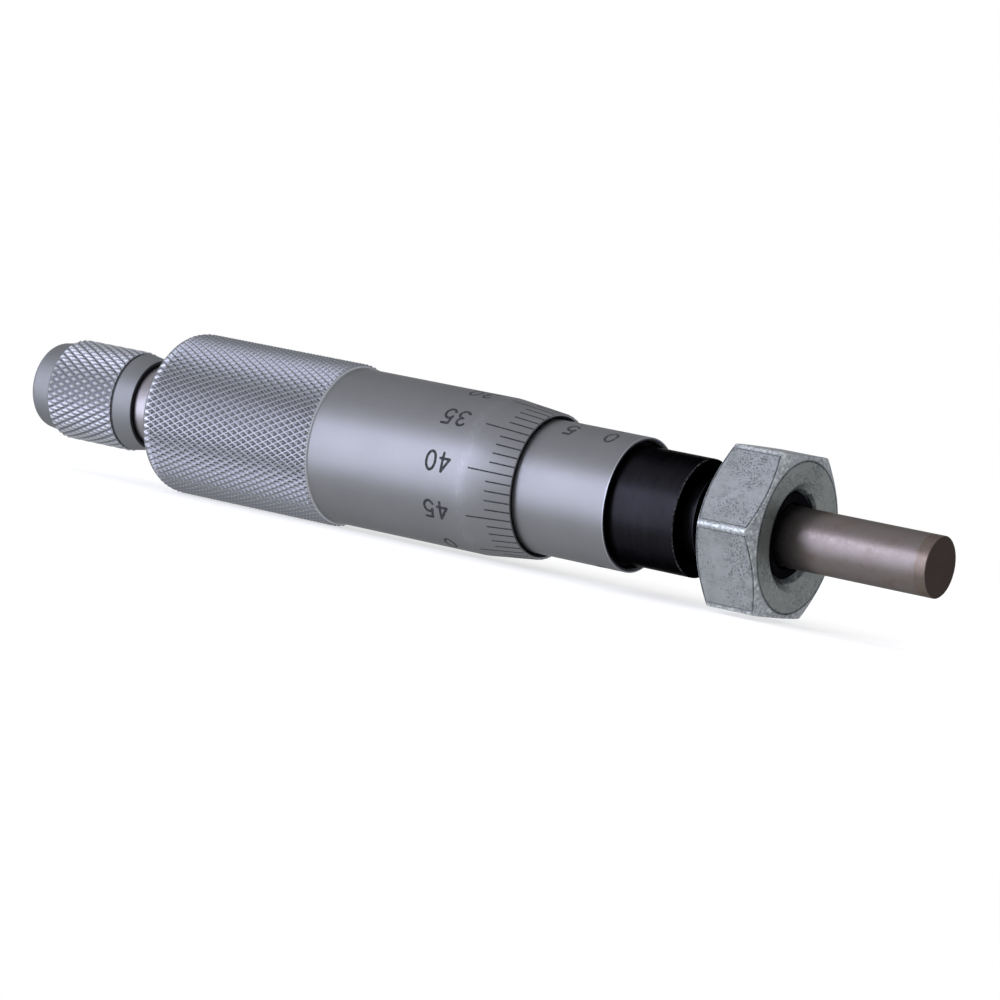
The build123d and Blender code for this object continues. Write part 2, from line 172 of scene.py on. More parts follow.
@dataclass
class Coat:
    """A surface's colour and roughness, which its marks are laid over one by one.

    Attributes:
        tree: the material's node tree.
        place: the point on the piece, in metres.
        colour: the colour that the marks so far leave.
        rough: the roughness that they leave.
    """

    tree: Tree
    place: Socket
    colour: Socket | None = None
    rough: Socket | None = None

    def tint(self, over: str, *masks: Socket | float) -> None:
        """Lay an sRGB hex colour over the coat where all of the masks say so."""
        inputs = {0: self.overlap(*masks), 6: self.colour, 7: linear(over)}
        self.colour = add(self.tree, "Mix", inputs, data_type="RGBA").outputs[2]

    def overlap(self, mask: Socket, *others: Socket | float) -> Socket:
        """Return where masks overlap.

        Args:
            mask: the first one.
            others: the others, and how strong their overlap is.

        Returns:
            The mask of the overlap.
        """
        for other in others:
            mask = add(self.tree, "Math", {0: mask, 1: other}, operation="MULTIPLY").outputs[0]
        return mask

    def noise(self, scale: tuple[float, float, float], detail: float, roughness: float) -> Socket:
        """Return noise, which lies between 0 and 1 and mostly between a quarter and three quarters.

        Args:
            scale: how many times finer than a metre it is along each axis.
            detail: how many octaves it has.
            roughness: the share that each octave keeps of the last.

        Returns:
            The noise.
        """
        run = add(self.tree, "VectorMath", {0: self.place, 1: scale}, operation="MULTIPLY")
        return add(self.tree, "TexNoise", {
            "Vector": run.outputs[0], "Scale": 1.0, "Detail": detail, "Roughness": roughness}).outputs["Fac"]

    def patches(
        self, size: float, low: float, high: float, finer: tuple[float, float, float] = (1.0, 1.0, 1.0),
    ) -> Socket:
        """Return the mask of irregular patches.

        Args:
            size: the size of the patches, in millimetres.
            low: the noise below which there is no patch.
            high: the noise above which a patch is full.
            finer: how much finer the patches are along each axis.

        Returns:
            The mask.
        """
        fac = self.noise(tuple(share / (size * MM) for share in finer), detail=5.0, roughness=0.6)
        return add(self.tree, "MapRange", {"Value": fac, "From Min": low, "From Max": high}).outputs[0]

    def band(self, length: Socket, middle: float, full: float, none: float) -> Socket:
        """Return a mask that is 1 where a length is near a given one.

        Args:
            length: the length, in metres.
            middle: the given length, in millimetres.
            full: how far from it the mask is still 1.
            none: how far from it the mask is 0.

        Returns:
            The mask.
        """
        off = add(self.tree, "Math", {0: length, 1: middle * MM}, operation="SUBTRACT")
        away = add(self.tree, "Math", {0: off.outputs[0]}, operation="ABSOLUTE")
        return add(self.tree, "MapRange", {
            "Value": away.outputs[0], "From Min": none * MM, "From Max": full * MM}).outputs[0]

    def along_and_out(self) -> tuple[Socket, Socket]:
        """Split the point on the piece.

        Returns:
            Its station along the axis and its distance from it.
        """
        parts = add(self.tree, "SeparateXYZ", {0: self.place})
        flat = add(self.tree, "VectorMath", {0: self.place, 1: (0.0, 1.0, 1.0)}, operation="MULTIPLY")
        away = add(self.tree, "VectorMath", {0: flat.outputs[0]}, operation="LENGTH")
        return parts.outputs[0], away.outputs["Value"]


class Lay(Enum):
    """The way in which the marks of a finishing tool run, as how much finer they are along X and across."""

    AROUND = (1.0, 0.04)
    EVERY_WAY = (1.0, 1.0)


@dataclass(frozen=True)
class Metal:
    """A metal and how its surface was made.

    A pixel of the photograph is 0.1 mm, so the finer marks of a tool or of grit are drawn 0.1 to 0.3 mm
    wide, as coarse as they need to be to show.

    Attributes:
        name: the material's name, which says what the metal is and how it was made.
        base: the colour that it reflects, as sRGB hex.
        shade: the darker colour of its clouding.
        roughness: the mean roughness.
        grain_mm: the size of the marks that the finishing leaves.
        grain_depth_mm: how deep the marks are.
        lay: the way in which the marks run.
        cloud_mm: the size of the clouding that handling leaves.
        edge_tint: what the metal keeps of its reflection at a glancing angle.
        stretch: how much marks that run round the axis stretch the highlight along it.
        unevenness: how far the roughness strays from its mean.
    """

    name: str
    base: str
    shade: str
    roughness: float
    grain_mm: float
    grain_depth_mm: float
    cloud_mm: float
    lay: Lay = Lay.EVERY_WAY
    edge_tint: str = "#b0b0b0"
    stretch: float = 0.0
    unevenness: float = 0.06

    def material(self) -> bpy.types.Material:
        """Make the metal's material.

        Returns:
            The material, ready for a mesh.
        """
        made, surface = new_material(self.name, {
            "Metallic": 1.0, "Specular Tint": linear(self.edge_tint), "Anisotropic": self.stretch})
        tree = made.node_tree
        if self.stretch:
            around = add(tree, "Tangent", direction_type="RADIAL", axis="X")
            tree.links.new(around.outputs[0], surface.inputs["Tangent"])
        coat = Coat(tree, add(tree, "TexCoord").outputs["Object"])
        cloud = add(tree, "TexNoise", {
            "Vector": coat.place, "Scale": 1 / (self.cloud_mm * MM), "Detail": 4.0, "Roughness": 0.6})
        along, across = (share / (self.grain_mm * MM) for share in self.lay.value)
        grain = coat.noise((along, across, across), detail=3.0, roughness=0.55)
        # The two noises multiplied lie mostly between these limits
        clouded = add(tree, "MapRange", {
            "Value": coat.overlap(cloud.outputs["Fac"], grain), "From Min": 0.12, "From Max": 0.38})
        coat.colour = add(tree, "Mix", {
            0: clouded.outputs[0], 6: linear(self.shade), 7: linear(self.base)}, data_type="RGBA").outputs[2]
        coat.rough = add(tree, "MapRange", {
            "Value": grain, "From Min": 0.25, "From Max": 0.75, "To Min": self.roughness - self.unevenness,
            "To Max": self.roughness + self.unevenness}).outputs[0]
        bump = add(tree, "Bump", {"Height": grain, "Strength": 1.0, "Distance": self.grain_depth_mm * MM})
        self.dress(coat)
        given = {"Base Color": coat.colour, "Roughness": coat.rough, "Normal": bump.outputs[0]}
        for name, socket in given.items():
            tree.links.new(socket, surface.inputs[name])
        return made

    def dress(self, coat: Coat) -> None:
        """Leave the coat as it is: a plain metal has no marks of its own."""


# Free-cutting steel, turned bright: light and slightly warm, with turning rings
TURNED_STEEL = Metal(
    "steel_turned_bright", base="#858287", shade="#7b797d", roughness=0.36, grain_mm=0.16,
    grain_depth_mm=0.001, lay=Lay.AROUND, cloud_mm=3.0, stretch=0.5)
# Carbon steel as machined and oiled: plain mid grey
MACHINED_STEEL = Metal(
    "carbon_steel_machined", base="#7d7d80", shade="#66666a", roughness=0.38, grain_mm=0.2,
    grain_depth_mm=0.004, cloud_mm=3.0)
# Spring steel wire, drawn: dark and smooth
DRAWN_WIRE = Metal(
    "spring_steel_drawn", base="#5f5f64", shade="#4b4b50", roughness=0.3, grain_mm=0.1,
    grain_depth_mm=0.001, cloud_mm=2.0)


@dataclass(frozen=True)
class Ink:
    """Black filler in the engraved lines, wiped flush, which dries matt and slightly uneven.

    Attributes:
        name: the material's name.
        base: the filler's colour.
        worn: its colour where it was wiped thin.
        patch_mm: the size of the thin patches.
    """

    name: str = "engraving_filler_black"
    base: str = "#26272a"
    worn: str = "#4a4b50"
    patch_mm: float = 0.35

    def material(self) -> bpy.types.Material:
        """Make the filler's material.

        Returns:
            The material, ready for a mesh.
        """
        made, surface = new_material(self.name, {"Roughness": 0.7, "Specular IOR Level": 0.25})
        tree = made.node_tree
        place = add(tree, "TexCoord").outputs["Object"]
        patch = add(tree, "TexNoise", {"Vector": place, "Scale": 1 / (self.patch_mm * MM), "Detail": 3.0})
        thin = add(tree, "MapRange", {"Value": patch.outputs["Fac"], "From Min": 0.5, "From Max": 0.75})
        colour = add(tree, "Mix", {
            0: thin.outputs[0], 6: linear(self.base), 7: linear(self.worn)}, data_type="RGBA")
        tree.links.new(colour.outputs[2], surface.inputs["Base Color"])
        return made


def dress_node(node: str, finish: Metal) -> None:
    """Give a node of the frame its material.

    Args:
        node: the node's name.
        finish: its finish.
    """
    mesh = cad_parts[node].data
    mesh.materials.clear()
    mesh.materials.append(bpy.data.materials.get(finish.name) or finish.material())
    log.info("%s: %s", node, finish.name)


class Shape:
    """A closed mesh being made in millimetres, as rings of vertices about the X axis."""

    def __init__(self, angles: Iterable[float]) -> None:
        """Start a mesh whose rings have a vertex at each of these angles, in degrees."""
        self.mesh = bmesh.new()
        self.angles = [radians(angle) for angle in angles]

    def ring(self, x: float, radius: float | Callable[[float], float]) -> list[Vert]:
        """Add a ring of vertices.

        Args:
            x: the ring's station.
            radius: its radius, or the radius as a function of the angle in radians.

        Returns:
            The ring's vertices, in the order of the angles.
        """
        made = []
        for angle in self.angles:
            r = radius(angle) if callable(radius) else radius
            made.append(self.mesh.verts.new(about_axis(x, r, angle)))
        return made

    def skin(self, rings: list[list[Vert]]) -> None:
        """Join each ring to the next with a band of faces.

        Args:
            rings: rings of as many vertices each.
        """
        for first, second in zip(rings, rings[1:]):
            for this in range(len(first)):
                after = (this + 1) % len(first)
                face = self.mesh.faces.new((first[this], first[after], second[after], second[this]))
                face.smooth = True

    def turn(self, outline: Outline, before: list[Vert], after: list[Vert]) -> None:
        """Add the skin that an outline, of stations and radii, sweeps round the axis between two rings."""
        self.skin([before, *(self.ring(x, r) for x, r in outline), after])

    def piece(self, name: str, body: str, slot: str, finish: Metal | Ink) -> bpy.types.Object:
        """Turn the mesh into a piece of the scene.

        Args:
            name: the piece's name.
            body: the body of the frame that it moves with.
            slot: the record's material slot. It is not used.
            finish: what it is made of.

        Returns:
            The piece.
        """
        bmesh.ops.recalc_face_normals(self.mesh, faces=self.mesh.faces)
        for edge in self.mesh.edges:
            edge.smooth = len(edge.link_faces) == 2 and degrees(edge.calc_face_angle()) < SHARP_ANGLE
        bmesh.ops.transform(self.mesh, matrix=Matrix.Scale(MM, 4), verts=self.mesh.verts)
        made = show_mesh(name, self.mesh)
        made.data.materials.append(finish.material())
        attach(made, body)
        log.info("%s: %d faces, on %s", name, len(made.data.polygons), body)
        return made


def round_normals(piece: bpy.types.Object) -> None:
    """Give the smooth faces of a turned piece normals that point straight out from the axis.

    The columns of a knurled piece are uneven, and normals averaged from them would show as streaks.

    Args:
        piece: the piece, whose flat faces keep their normals.
    """
    data = piece.data
    normals = [normal.vector.copy() for normal in data.corner_normals]
    for face in data.polygons:
        for corner in face.loop_indices:
            if not face.use_smooth:
                normals[corner] = face.normal.copy()
                continue
            point = data.vertices[data.loops[corner].vertex_index].co
            out = Vector((0.0, point.y, point.z)).normalized()
            along = max(-1.0, min(1.0, normals[corner].x))
            side = 1.0 if normals[corner].dot(out) > 0 else -1.0
            normals[corner] = Vector((along, 0.0, 0.0)) + out * side * sqrt(1 - along * along)
    data.normals_split_custom_set(normals)


def weigh_normals(piece: bpy.types.Object) -> None:
    """Let large faces rule the shading at their edges, so that small chamfers look rounded."""
    weighted = piece.modifiers.new("weighted", "WEIGHTED_NORMAL")
    weighted.keep_sharp = True


def eased(outline: Outline, reach: float) -> Outline:
    """Cut each corner of a closed outline, as a deburred edge is.

    Args:
        outline: points of station and radius.
        reach: how far from the corner the cut starts.

    Returns:
        The outline with two points for each corner.
    """
    points = []
    for place, (x, r) in enumerate(outline):
        for other_x, other_r in (outline[place - 1], outline[(place + 1) % len(outline)]):
            length = hypot(other_x - x, other_r - r)
            share = min(reach, LONGEST_CUT * length) / length
            points.append((x + share * (other_x - x), r + share * (other_r - r)))
    return points


def profile_radius(outline: Outline, x: float) -> float:
    """Find the radius of an outline at a station.

    Args:
        outline: points of station and radius, towards +X.
        x: the station.

    Returns:
        The radius, which is an end's beyond the outline.
    """
    for (x0, r0), (x1, r1) in zip(outline, outline[1:]):
        if x <= x1 and x1 > x0:
            return r0 + (r1 - r0) * max(0.0, (x - x0) / (x1 - x0))
    return outline[-1][1]


def quarter_round(end: float, radius: float, size: float, steps: int = 7) -> Outline:
    """Return the points that round a turned piece's rear edge, from its end towards +X.

    Args:
        end: the station of the rear face.
        radius: the piece's radius ahead of the rounding.
        size: the rounding's radius.
        steps: how many chords it has.

    Returns:
        Points of station and radius.
    """
    turns = [radians(90 * step / steps) for step in range(steps, -1, -1)]
    return [(end + size * (1 - sin(turn)), radius - size * (1 - cos(turn))) for turn in turns]


@dataclass(frozen=True)
class Knurl:
    """A diamond knurl: pyramids with small flats between grooves that cross.

    Attributes:
        lines: the grooves round the grip, each way.
        crest: the radius over the pyramids.
        slant: the angle between the grooves and the axis.
        depth: the depth of the grooves.
        flat: the share of the spacing that is flat on top.
        bottom: the share of the spacing that is flat in the groove.
        phase: where in a diamond the knurl starts, clear of the pyramids' corners.
    """

    lines: int
    crest: float
    slant: float
    depth: float
    flat: float
    bottom: float
    phase: float = 0.21

    @property
    def pitch(self) -> float:
        """The length of a diamond along the axis."""
        return 2 * pi * self.crest / self.lines / tan(radians(self.slant))

    def rise(self, across: float) -> float:
        """Return the height across one set of grooves, from 0 in a groove to 1 on the flat."""
        side = 1 - abs(2 * (across % 1) - 1)
        return min(1.0, max(0.0, (side - self.bottom) / (1 - self.flat - self.bottom)))

    def radius(self, x: float, angle: float, start: float) -> float:
        """Find how far out the knurl reaches.

        Args:
            x: the station.
            angle: the angle, in radians.
            start: the station where the knurl starts.

        Returns:
            The radius.
        """
        along = (x - start) / self.pitch + self.phase
        around = angle * self.lines / (2 * pi)
        height = min(self.rise(along + around), self.rise(along - around))
        return self.crest - self.depth * (1 - height)

    def wall(self, shape: Shape, start: float, rows: int, blank: Outline) -> Ends:
        """Add the knurled wall of a turned blank, over a whole number of diamonds.

        The two sets of grooves are the two directions of a lattice that is wrapped round the axis.
        It is cut along the blank's own edges and then pushed in to the blank or the knurl.

        Args:
            shape: the mesh, whose angles become those of the wall's ends.
            start: the station of the wall's rear end.
            rows: how many diamonds it is long.
            blank: the blank's outline, towards +X.

        Returns:
            The rings at its rear and front ends.
        """
        mesh = shape.mesh
        end = start + rows * self.pitch
        self.lay_lattice(mesh, start, rows)
        for x in (start, end, *(x for x, r in blank if start < x < end)):
            bmesh.ops.bisect_plane(
                mesh, geom=mesh.verts[:] + mesh.edges[:] + mesh.faces[:], dist=IN_PLANE,
                plane_co=(x, 0, 0), plane_no=(1, 0, 0), clear_inner=x == start, clear_outer=x == end)
        loose = [vert for vert in mesh.verts if not vert.link_faces]
        bmesh.ops.delete(mesh, geom=loose, context="VERTS")
        rings = ([], [])
        for vert in mesh.verts:
            angle = atan2(vert.co.z, vert.co.y)
            on_end = [abs(vert.co.x - x) < AT_END for x in (start, end)]
            x = start if on_end[0] else end if on_end[1] else vert.co.x
            r = min(profile_radius(blank, x), self.radius(x, angle, start))
            vert.co = about_axis(x, r, angle)
            for ring, here in zip(rings, on_end):
                if here:
                    ring.append((angle, vert))
        rear, front = ([vert for angle, vert in sorted(ring, key=lambda item: item[0])] for ring in rings)
        shape.angles = [atan2(vert.co.z, vert.co.y) for vert in rear]
        return rear, front

    def lay_lattice(self, mesh: bmesh.types.BMesh, start: float, rows: int) -> None:
        """Add the lattice of the knurl on the cylinder over its crests, a little longer than the wall.

        Args:
            mesh: the mesh.
            start: the station where the wall will start.
            rows: how many diamonds the wall will be long.
        """
        # Where the profile across a groove bends: at both sides of its bottom and of the flat after it
        steps = (-self.bottom / 2, self.bottom / 2, (1 - self.flat) / 2, (1 + self.flat) / 2)
        each = len(steps)
        # How far apart the two counts are after once round the axis
        wrap = 2 * each * self.lines
        lattice = {}
        for total in range(floor(2 * each * (self.phase - 1)), ceil(2 * each * (self.phase + rows + 1))):
            for apart in range(total % 2, wrap, 2):
                one, two = (total + apart) // 2, (total - apart) // 2
                first = one // each + steps[one % each]
                second = two // each + steps[two % each]
                x = start + ((first + second) / 2 - self.phase) * self.pitch
                angle = (first - second) / 2 * 2 * pi / self.lines
                lattice[one, two] = mesh.verts.new(about_axis(x, self.crest, angle))
        for one, two in list(lattice):
            corners = []
            for i, j in ((one, two), (one + 1, two), (one + 1, two + 1), (one, two + 1)):
                turns = (i - j) // wrap
                corners.append(lattice.get((i - turns * wrap // 2, j + turns * wrap // 2)))
            if None in corners:
                continue
            # Where two flanks meet, the face is divided along the edge between them
            a, b, c, d = corners
            sides = (one % each, two % each)
            if 0 in sides or 2 in sides:
                faces = [(a, b, c, d)]
            elif sides[0] == sides[1]:
                faces = [(a, b, c), (a, c, d)]
            else:
                faces = [(a, b, d), (b, c, d)]
            for face in faces:
                mesh.faces.new(face)


@dataclass(frozen=True)
class Thread:
    """A metric screw thread, right-handed, with flats on its crests and roots.

    Attributes:
        pitch: the thread's pitch.
        crest: the radius where the outer thread has its crests.
        root: the radius where it has its roots.
        crest_flat: the share of a pitch that the flat on a crest takes, where the profile starts.
        flank: the share that each flank takes.
        turns: the shares of a pitch at which the profile bends or is divided.
    """

    pitch: float
    crest: float
    root: float
    crest_flat: float = 0.125
    flank: float = 0.3125
    turns: tuple[float, ...] = (0.0, 0.125, 0.28, 0.4375, 0.5625, 0.6875, 0.84)

    def radius(self, x: float, angle: float) -> float:
        """Find how far out the thread reaches.

        Args:
            x: the station.
            angle: the angle, in radians.

        Returns:
            The radius.
        """
        share = (x / self.pitch - angle / (2 * pi)) % 1
        # The profile mirrors in the middle of the root
        share = min(share, 1 + self.crest_flat - share)
        height = 1 - min(1.0, max(0.0, (share - self.crest_flat) / self.flank))
        return self.root + (self.crest - self.root) * height

    def wall(self, shape: Shape, start: float, end: float, limit: Callable[[float, float], float]) -> Ends:
        """Add a threaded wall, whose rows of vertices follow the helix.

        Args:
            shape: the mesh.
            start: the rear station.
            end: the front station.
            limit: what the piece makes of a station and the thread's radius there.

        Returns:
            The rings at its rear and front ends.
        """
        per_turn = len(self.turns)
        first = (floor(start / self.pitch) - 2) * per_turn
        last = (ceil(end / self.pitch) + 2) * per_turn
        columns = []
        for angle in shape.angles:
            column, made = {}, {}
            for row in range(first, last):
                x = self.pitch * (row // per_turn + self.turns[row % per_turn] + angle / (2 * pi))
                x = min(end, max(start, x))
                if x not in made:
                    r = limit(x, self.radius(x, angle))
                    made[x] = shape.mesh.verts.new(about_axis(x, r, angle))
                column[row] = made[x]
            columns.append(column)
        for place, column in enumerate(columns):
            beside = columns[(place + 1) % len(columns)]
            # Once round the axis, the rows have moved on by a pitch
            shift = per_turn if place + 1 == len(columns) else 0
            for row in range(first, last - 1 - shift):
                corners = (column[row], column[row + 1], beside[row + 1 + shift], beside[row + shift])
                # Beyond the ends of the wall the rows fall together
                corners = tuple(dict.fromkeys(corners))
                if len(corners) > 2:
                    face = shape.mesh.faces.new(corners)
                    face.smooth = True
        return [c[first] for c in columns], [c[last - 1] for c in columns]


def arc(x: float, y: float, across: float, up: float, start: float, end: float, steps: int = 10) -> Stroke:
    """Return the points of an arc of an ellipse.

    Args:
        x: the centre's place across the digit.
        y: the centre's height.
        across: half of the ellipse's width.
        up: half of its height.
        start: the first point's angle in degrees.
        end: the last point's angle.
        steps: how many chords it has.

    Returns:
        The arc's points.
    """
    angles = [radians(start + (end - start) * step / steps) for step in range(steps + 1)]
    return [(x + across * cos(angle), y + up * sin(angle)) for angle in angles]


# Single-line digits as a pantograph engraves them, in a box whose height is 1
DIGITS: dict[str, list[Stroke]] = {
    "0": [arc(0.3, 0.5, 0.28, 0.5, 90, 450, 24)],
    "1": [[(0.12, 0.78), (0.34, 1.0)], [(0.34, 1.0), (0.34, 0.0)]],
    "2": [[*arc(0.3, 0.71, 0.27, 0.29, 165, -35), (0.02, 0.0)], [(0.02, 0.0), (0.6, 0.0)]],
    "3": [arc(0.28, 0.75, 0.25, 0.25, 150, -90), arc(0.28, 0.26, 0.3, 0.26, 84, -150)],
    "4": [[(0.44, 0.0), (0.44, 1.0)], [(0.44, 1.0), (0.0, 0.3)], [(0.0, 0.3), (0.6, 0.3)]],
    "5": [[(0.54, 1.0), (0.14, 1.0)], [(0.14, 1.0), (0.08, 0.5)], arc(0.28, 0.33, 0.29, 0.33, 140, -150)],
}


@dataclass(frozen=True)
class Engraving:
    """Lines and digits on a turned surface, as closed strips that fill their grooves.

    Attributes:
        radius: the surface's radius as a function of the station.
        line: the width of a line.
        digit_line: the width of a digit's stroke.
        digit_height: the height of a digit.
        digit_space: from one digit of a number to the next.
        proud: how far the filler stands over the surface.
        sunk: how deep it reaches.
        chord: the longest straight part of a stroke.
    """

    radius: Callable[[float], float]
    line: float = 0.17
    digit_line: float = 0.31
    digit_height: float = 2.0
    digit_space: float = 1.75
    proud: float = 0.01
    sunk: float = 0.06
    chord: float = 0.25

    def strip(self, shape: Shape, path: list[tuple[float, float, float]], width: float) -> None:
        """Add a closed strip along a path on the surface.

        Args:
            shape: the mesh.
            path: points of station, angle in degrees and the share of the width there.
            width: the strip's width.
        """
        flat = [(x, radians(angle) * self.radius(x)) for x, angle, share in path]
        rows = []
        for place, (x, angle, share) in enumerate(path):
            x0, y0 = flat[max(0, place - 1)]
            x1, y1 = flat[min(len(flat) - 1, place + 1)]
            length = hypot(x1 - x0, y1 - y0)
            out_x, out_y = (y1 - y0) / length, (x0 - x1) / length
            row = []
            for side in (1, -1):
                away = side * share * width / 2
                at = x + away * out_x
                base = self.radius(x)
                turn = radians(angle) + away * out_y / base
                for lift in (self.proud, -self.sunk):
                    row.append(shape.mesh.verts.new(about_axis(at, self.radius(at) + lift, turn)))
            rows.append(row)
        for (a, b, c, d), (e, f, g, h) in zip(rows, rows[1:]):
            for corners in ((a, c, g, e), (b, f, h, d), (a, e, f, b), (c, d, h, g)):
                shape.mesh.faces.new(corners)
        for a, b, c, d in (rows[0], rows[-1]):
            shape.mesh.faces.new((a, b, d, c))

    def stroke(self, shape: Shape, points: list[tuple[float, float]]) -> None:
        """Add a digit's stroke with round ends.

        Args:
            shape: the mesh.
            points: the stroke's stations and angles. Long chords are divided, to follow the surface.
        """
        reach = self.digit_line / 2
        path = [points[0]]
        for (x0, angle0), (x1, angle1) in zip(points, points[1:]):
            around = radians(angle1 - angle0) * self.radius(x0)
            parts = ceil(hypot(x1 - x0, around) / self.chord)
            path += [(x0 + (x1 - x0) * part / parts, angle0 + (angle1 - angle0) * part / parts)
                     for part in range(1, parts + 1)]
        closed = hypot(path[0][0] - path[-1][0], path[0][1] - path[-1][1]) < SAME_POINT
        middle = [(x, angle, 1.0) for x, angle in path]
        if closed:
            self.strip(shape, [*middle, middle[1]], self.digit_line)
            return
        # How far along the half circle of an end its points lie
        round_end = (0.5, 0.87, 0.99)
        ends = []
        for (x, angle), (next_x, next_angle) in ((path[0], path[1]), (path[-1], path[-2])):
            base = self.radius(x)
            away_x, away_y = x - next_x, radians(angle - next_angle) * base
            length = hypot(away_x, away_y)
            cap = []
            for share in round_end:
                out = share * reach / length
                cap.append((x + away_x * out, angle + degrees(away_y * out / base), sqrt(1 - share * share)))
            ends.append(cap)
        self.strip(shape, [*reversed(ends[0]), *middle, *ends[1]], self.digit_line)

    def number(self, shape: Shape, text: str, x: float, angle: float) -> None:
        """Add a number whose digits follow each other towards -X, with their tops at the higher angle.

        Args:
            shape: the mesh.
            text: its digits.
            x: the station of its middle.
            angle: the angle of its middle, in degrees.
        """
        height = self.digit_height
        span = (len(text) - 1) * self.digit_space + DIGIT_WIDTH * height
        for place, digit in enumerate(text):
            for points in DIGITS[digit]:
                path = []
                for across, up in points:
                    at = x + span / 2 - place * self.digit_space - across * height
                    path.append((at, angle + degrees((up - 0.5) * height / self.radius(x))))
                self.stroke(shape, path)


@dataclass
class Stem:
    """The black body with its threaded nose, and the notched nut on its split end.

    Attributes:
        thread: the thread of the nose.
        nose_end: the radius of the nose's end, inside its chamfer.
        nose_chamfer: the length of that chamfer.
        relief_width: the width of the relief between the thread and the shoulder.
        relief_radius: its radius.
        radius: the radius of the part that a clamp grips.
        shoulder_edge: the chamfer on the shoulder's edge.
        length: the length of the gripped part.
        mouth: the length of the relief behind it, in the sleeve's mouth.
        mouth_radius: its radius.
        seat_length: the length of each of the sleeve's two seats.
        waist_radius: the radius between the seats.
        barrel_radius: the radius of the barrel that the thimble runs over.
        barrel_end: the radius at the end of its taper.
        taper: the length of that taper.
        slots: how many slots split the end.
        slot_width: their width.
        slot_length: their length.
        guide_radius: the radius of the bore that guides the spindle.
        guide_mouth: its chamfer.
        screw_bore: the radius of the measuring nut.
        screw_nut_length: its length.
        cavity_radius: the radius of the cavity between the nut and the guide.
        cavity_length: its length.
        deburred: how far sharp edges are broken.
    """

    thread: Thread
    nose_end: float = 4.55
    nose_chamfer: float = 0.45
    relief_width: float = 1.1
    relief_radius: float = 4.4
    radius: float = 6.35
    shoulder_edge: float = 0.1
    length: float = 8.0
    mouth: float = 1.0
    mouth_radius: float = 6.05
    seat_length: float = 8.0
    waist_radius: float = 6.45
    barrel_radius: float = 5.4
    barrel_end: float = 5.15
    taper: float = 6.5
    slots: int = 3
    slot_width: float = 0.6
    slot_length: float = 9.5
    guide_radius: float = 3.27
    guide_mouth: float = 0.3
    screw_bore: float = 3.64
    screw_nut_length: float = 12.0
    cavity_radius: float = 4.1
    cavity_length: float = 27.0
    deburred: float = 0.03

    def build(self) -> None:
        """Build and dress the stem and dress the adjusting nut."""
        shape = Shape(range(0, 360, 3))
        back, front = station("stem", 0), station("stem", 1)
        sleeve_back = station("sleeve", 0)
        seat_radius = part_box("stem")[1].y / MM
        nut_front = back + self.screw_nut_length
        cavity_front = nut_front + self.cavity_length

        def nose(x: float, r: float) -> float:
            """Return the nose's radius under its end chamfer."""
            return min(r, self.nose_end + max(0.0, front - x) * (self.thread.crest - self.nose_end)
                       / self.nose_chamfer)

        rear, tip = self.thread.wall(shape, self.relief_width, front, nose)
        bore = eased([
            (front, self.guide_radius + self.guide_mouth), (front - self.guide_mouth, self.guide_radius),
            (cavity_front, self.guide_radius), (cavity_front, self.cavity_radius),
            (nut_front, self.cavity_radius), (nut_front, self.screw_bore),
            (back, self.screw_bore)], self.deburred)
        rear_seat, fore_seat = sleeve_back + self.seat_length, -self.length - self.mouth
        outside = eased([
            (back, self.barrel_end), (back + self.taper, self.barrel_radius),
            (sleeve_back, self.barrel_radius), (sleeve_back, seat_radius),
            (rear_seat, seat_radius), (rear_seat, self.waist_radius),
            (fore_seat - self.seat_length, self.waist_radius), (fore_seat - self.seat_length, seat_radius),
            (fore_seat, seat_radius), (fore_seat, self.mouth_radius),
            (-self.length, self.mouth_radius), (-self.length, self.radius)], self.deburred)
        shoulder = [
            (-self.shoulder_edge, self.radius), (0.0, self.radius - self.shoulder_edge),
            (0.0, self.relief_radius), (self.relief_width, self.relief_radius)]
        shape.turn([*bore, *outside, *shoulder], before=tip, after=rear)
        stem = shape.piece("stem_body", "stem", "black_oxide", BLACK_OXIDE)
        self.cut_slots(stem, back)
        round_normals(stem)
        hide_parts("stem")
        dress_node("adjusting_nut", MACHINED_STEEL)

    def cut_slots(self, stem: bpy.types.Object, back: float) -> None:
        """Cut the slots of the split end.

        Args:
            stem: the stem, which gets the slots.
            back: the station of its rear end.
        """
        cutter = bmesh.new()
        size = (2 * self.slot_length, self.barrel_radius * 2, self.slot_width)
        for number in range(self.slots):
            turned = Matrix.Rotation(radians(360 / self.slots * number), 4, "X")
            place = Matrix.Translation((back, self.barrel_radius, 0))
            bmesh.ops.create_cube(
                cutter, size=1.0, matrix=Matrix.Scale(MM, 4) @ turned @ place @ Matrix.Diagonal((*size, 1)))
        tool = show_mesh("slot_cutter", cutter)
        cut = stem.modifiers.new("slots", "BOOLEAN")
        cut.operation = "DIFFERENCE"
        cut.object = tool
        bpy.context.view_layer.update()
        evaluated = stem.evaluated_get(bpy.context.evaluated_depsgraph_get())
        cut_mesh = bpy.data.meshes.new_from_object(evaluated)
        stem.modifiers.remove(cut)
        stem.data = cut_mesh
        bpy.data.objects.remove(tool)


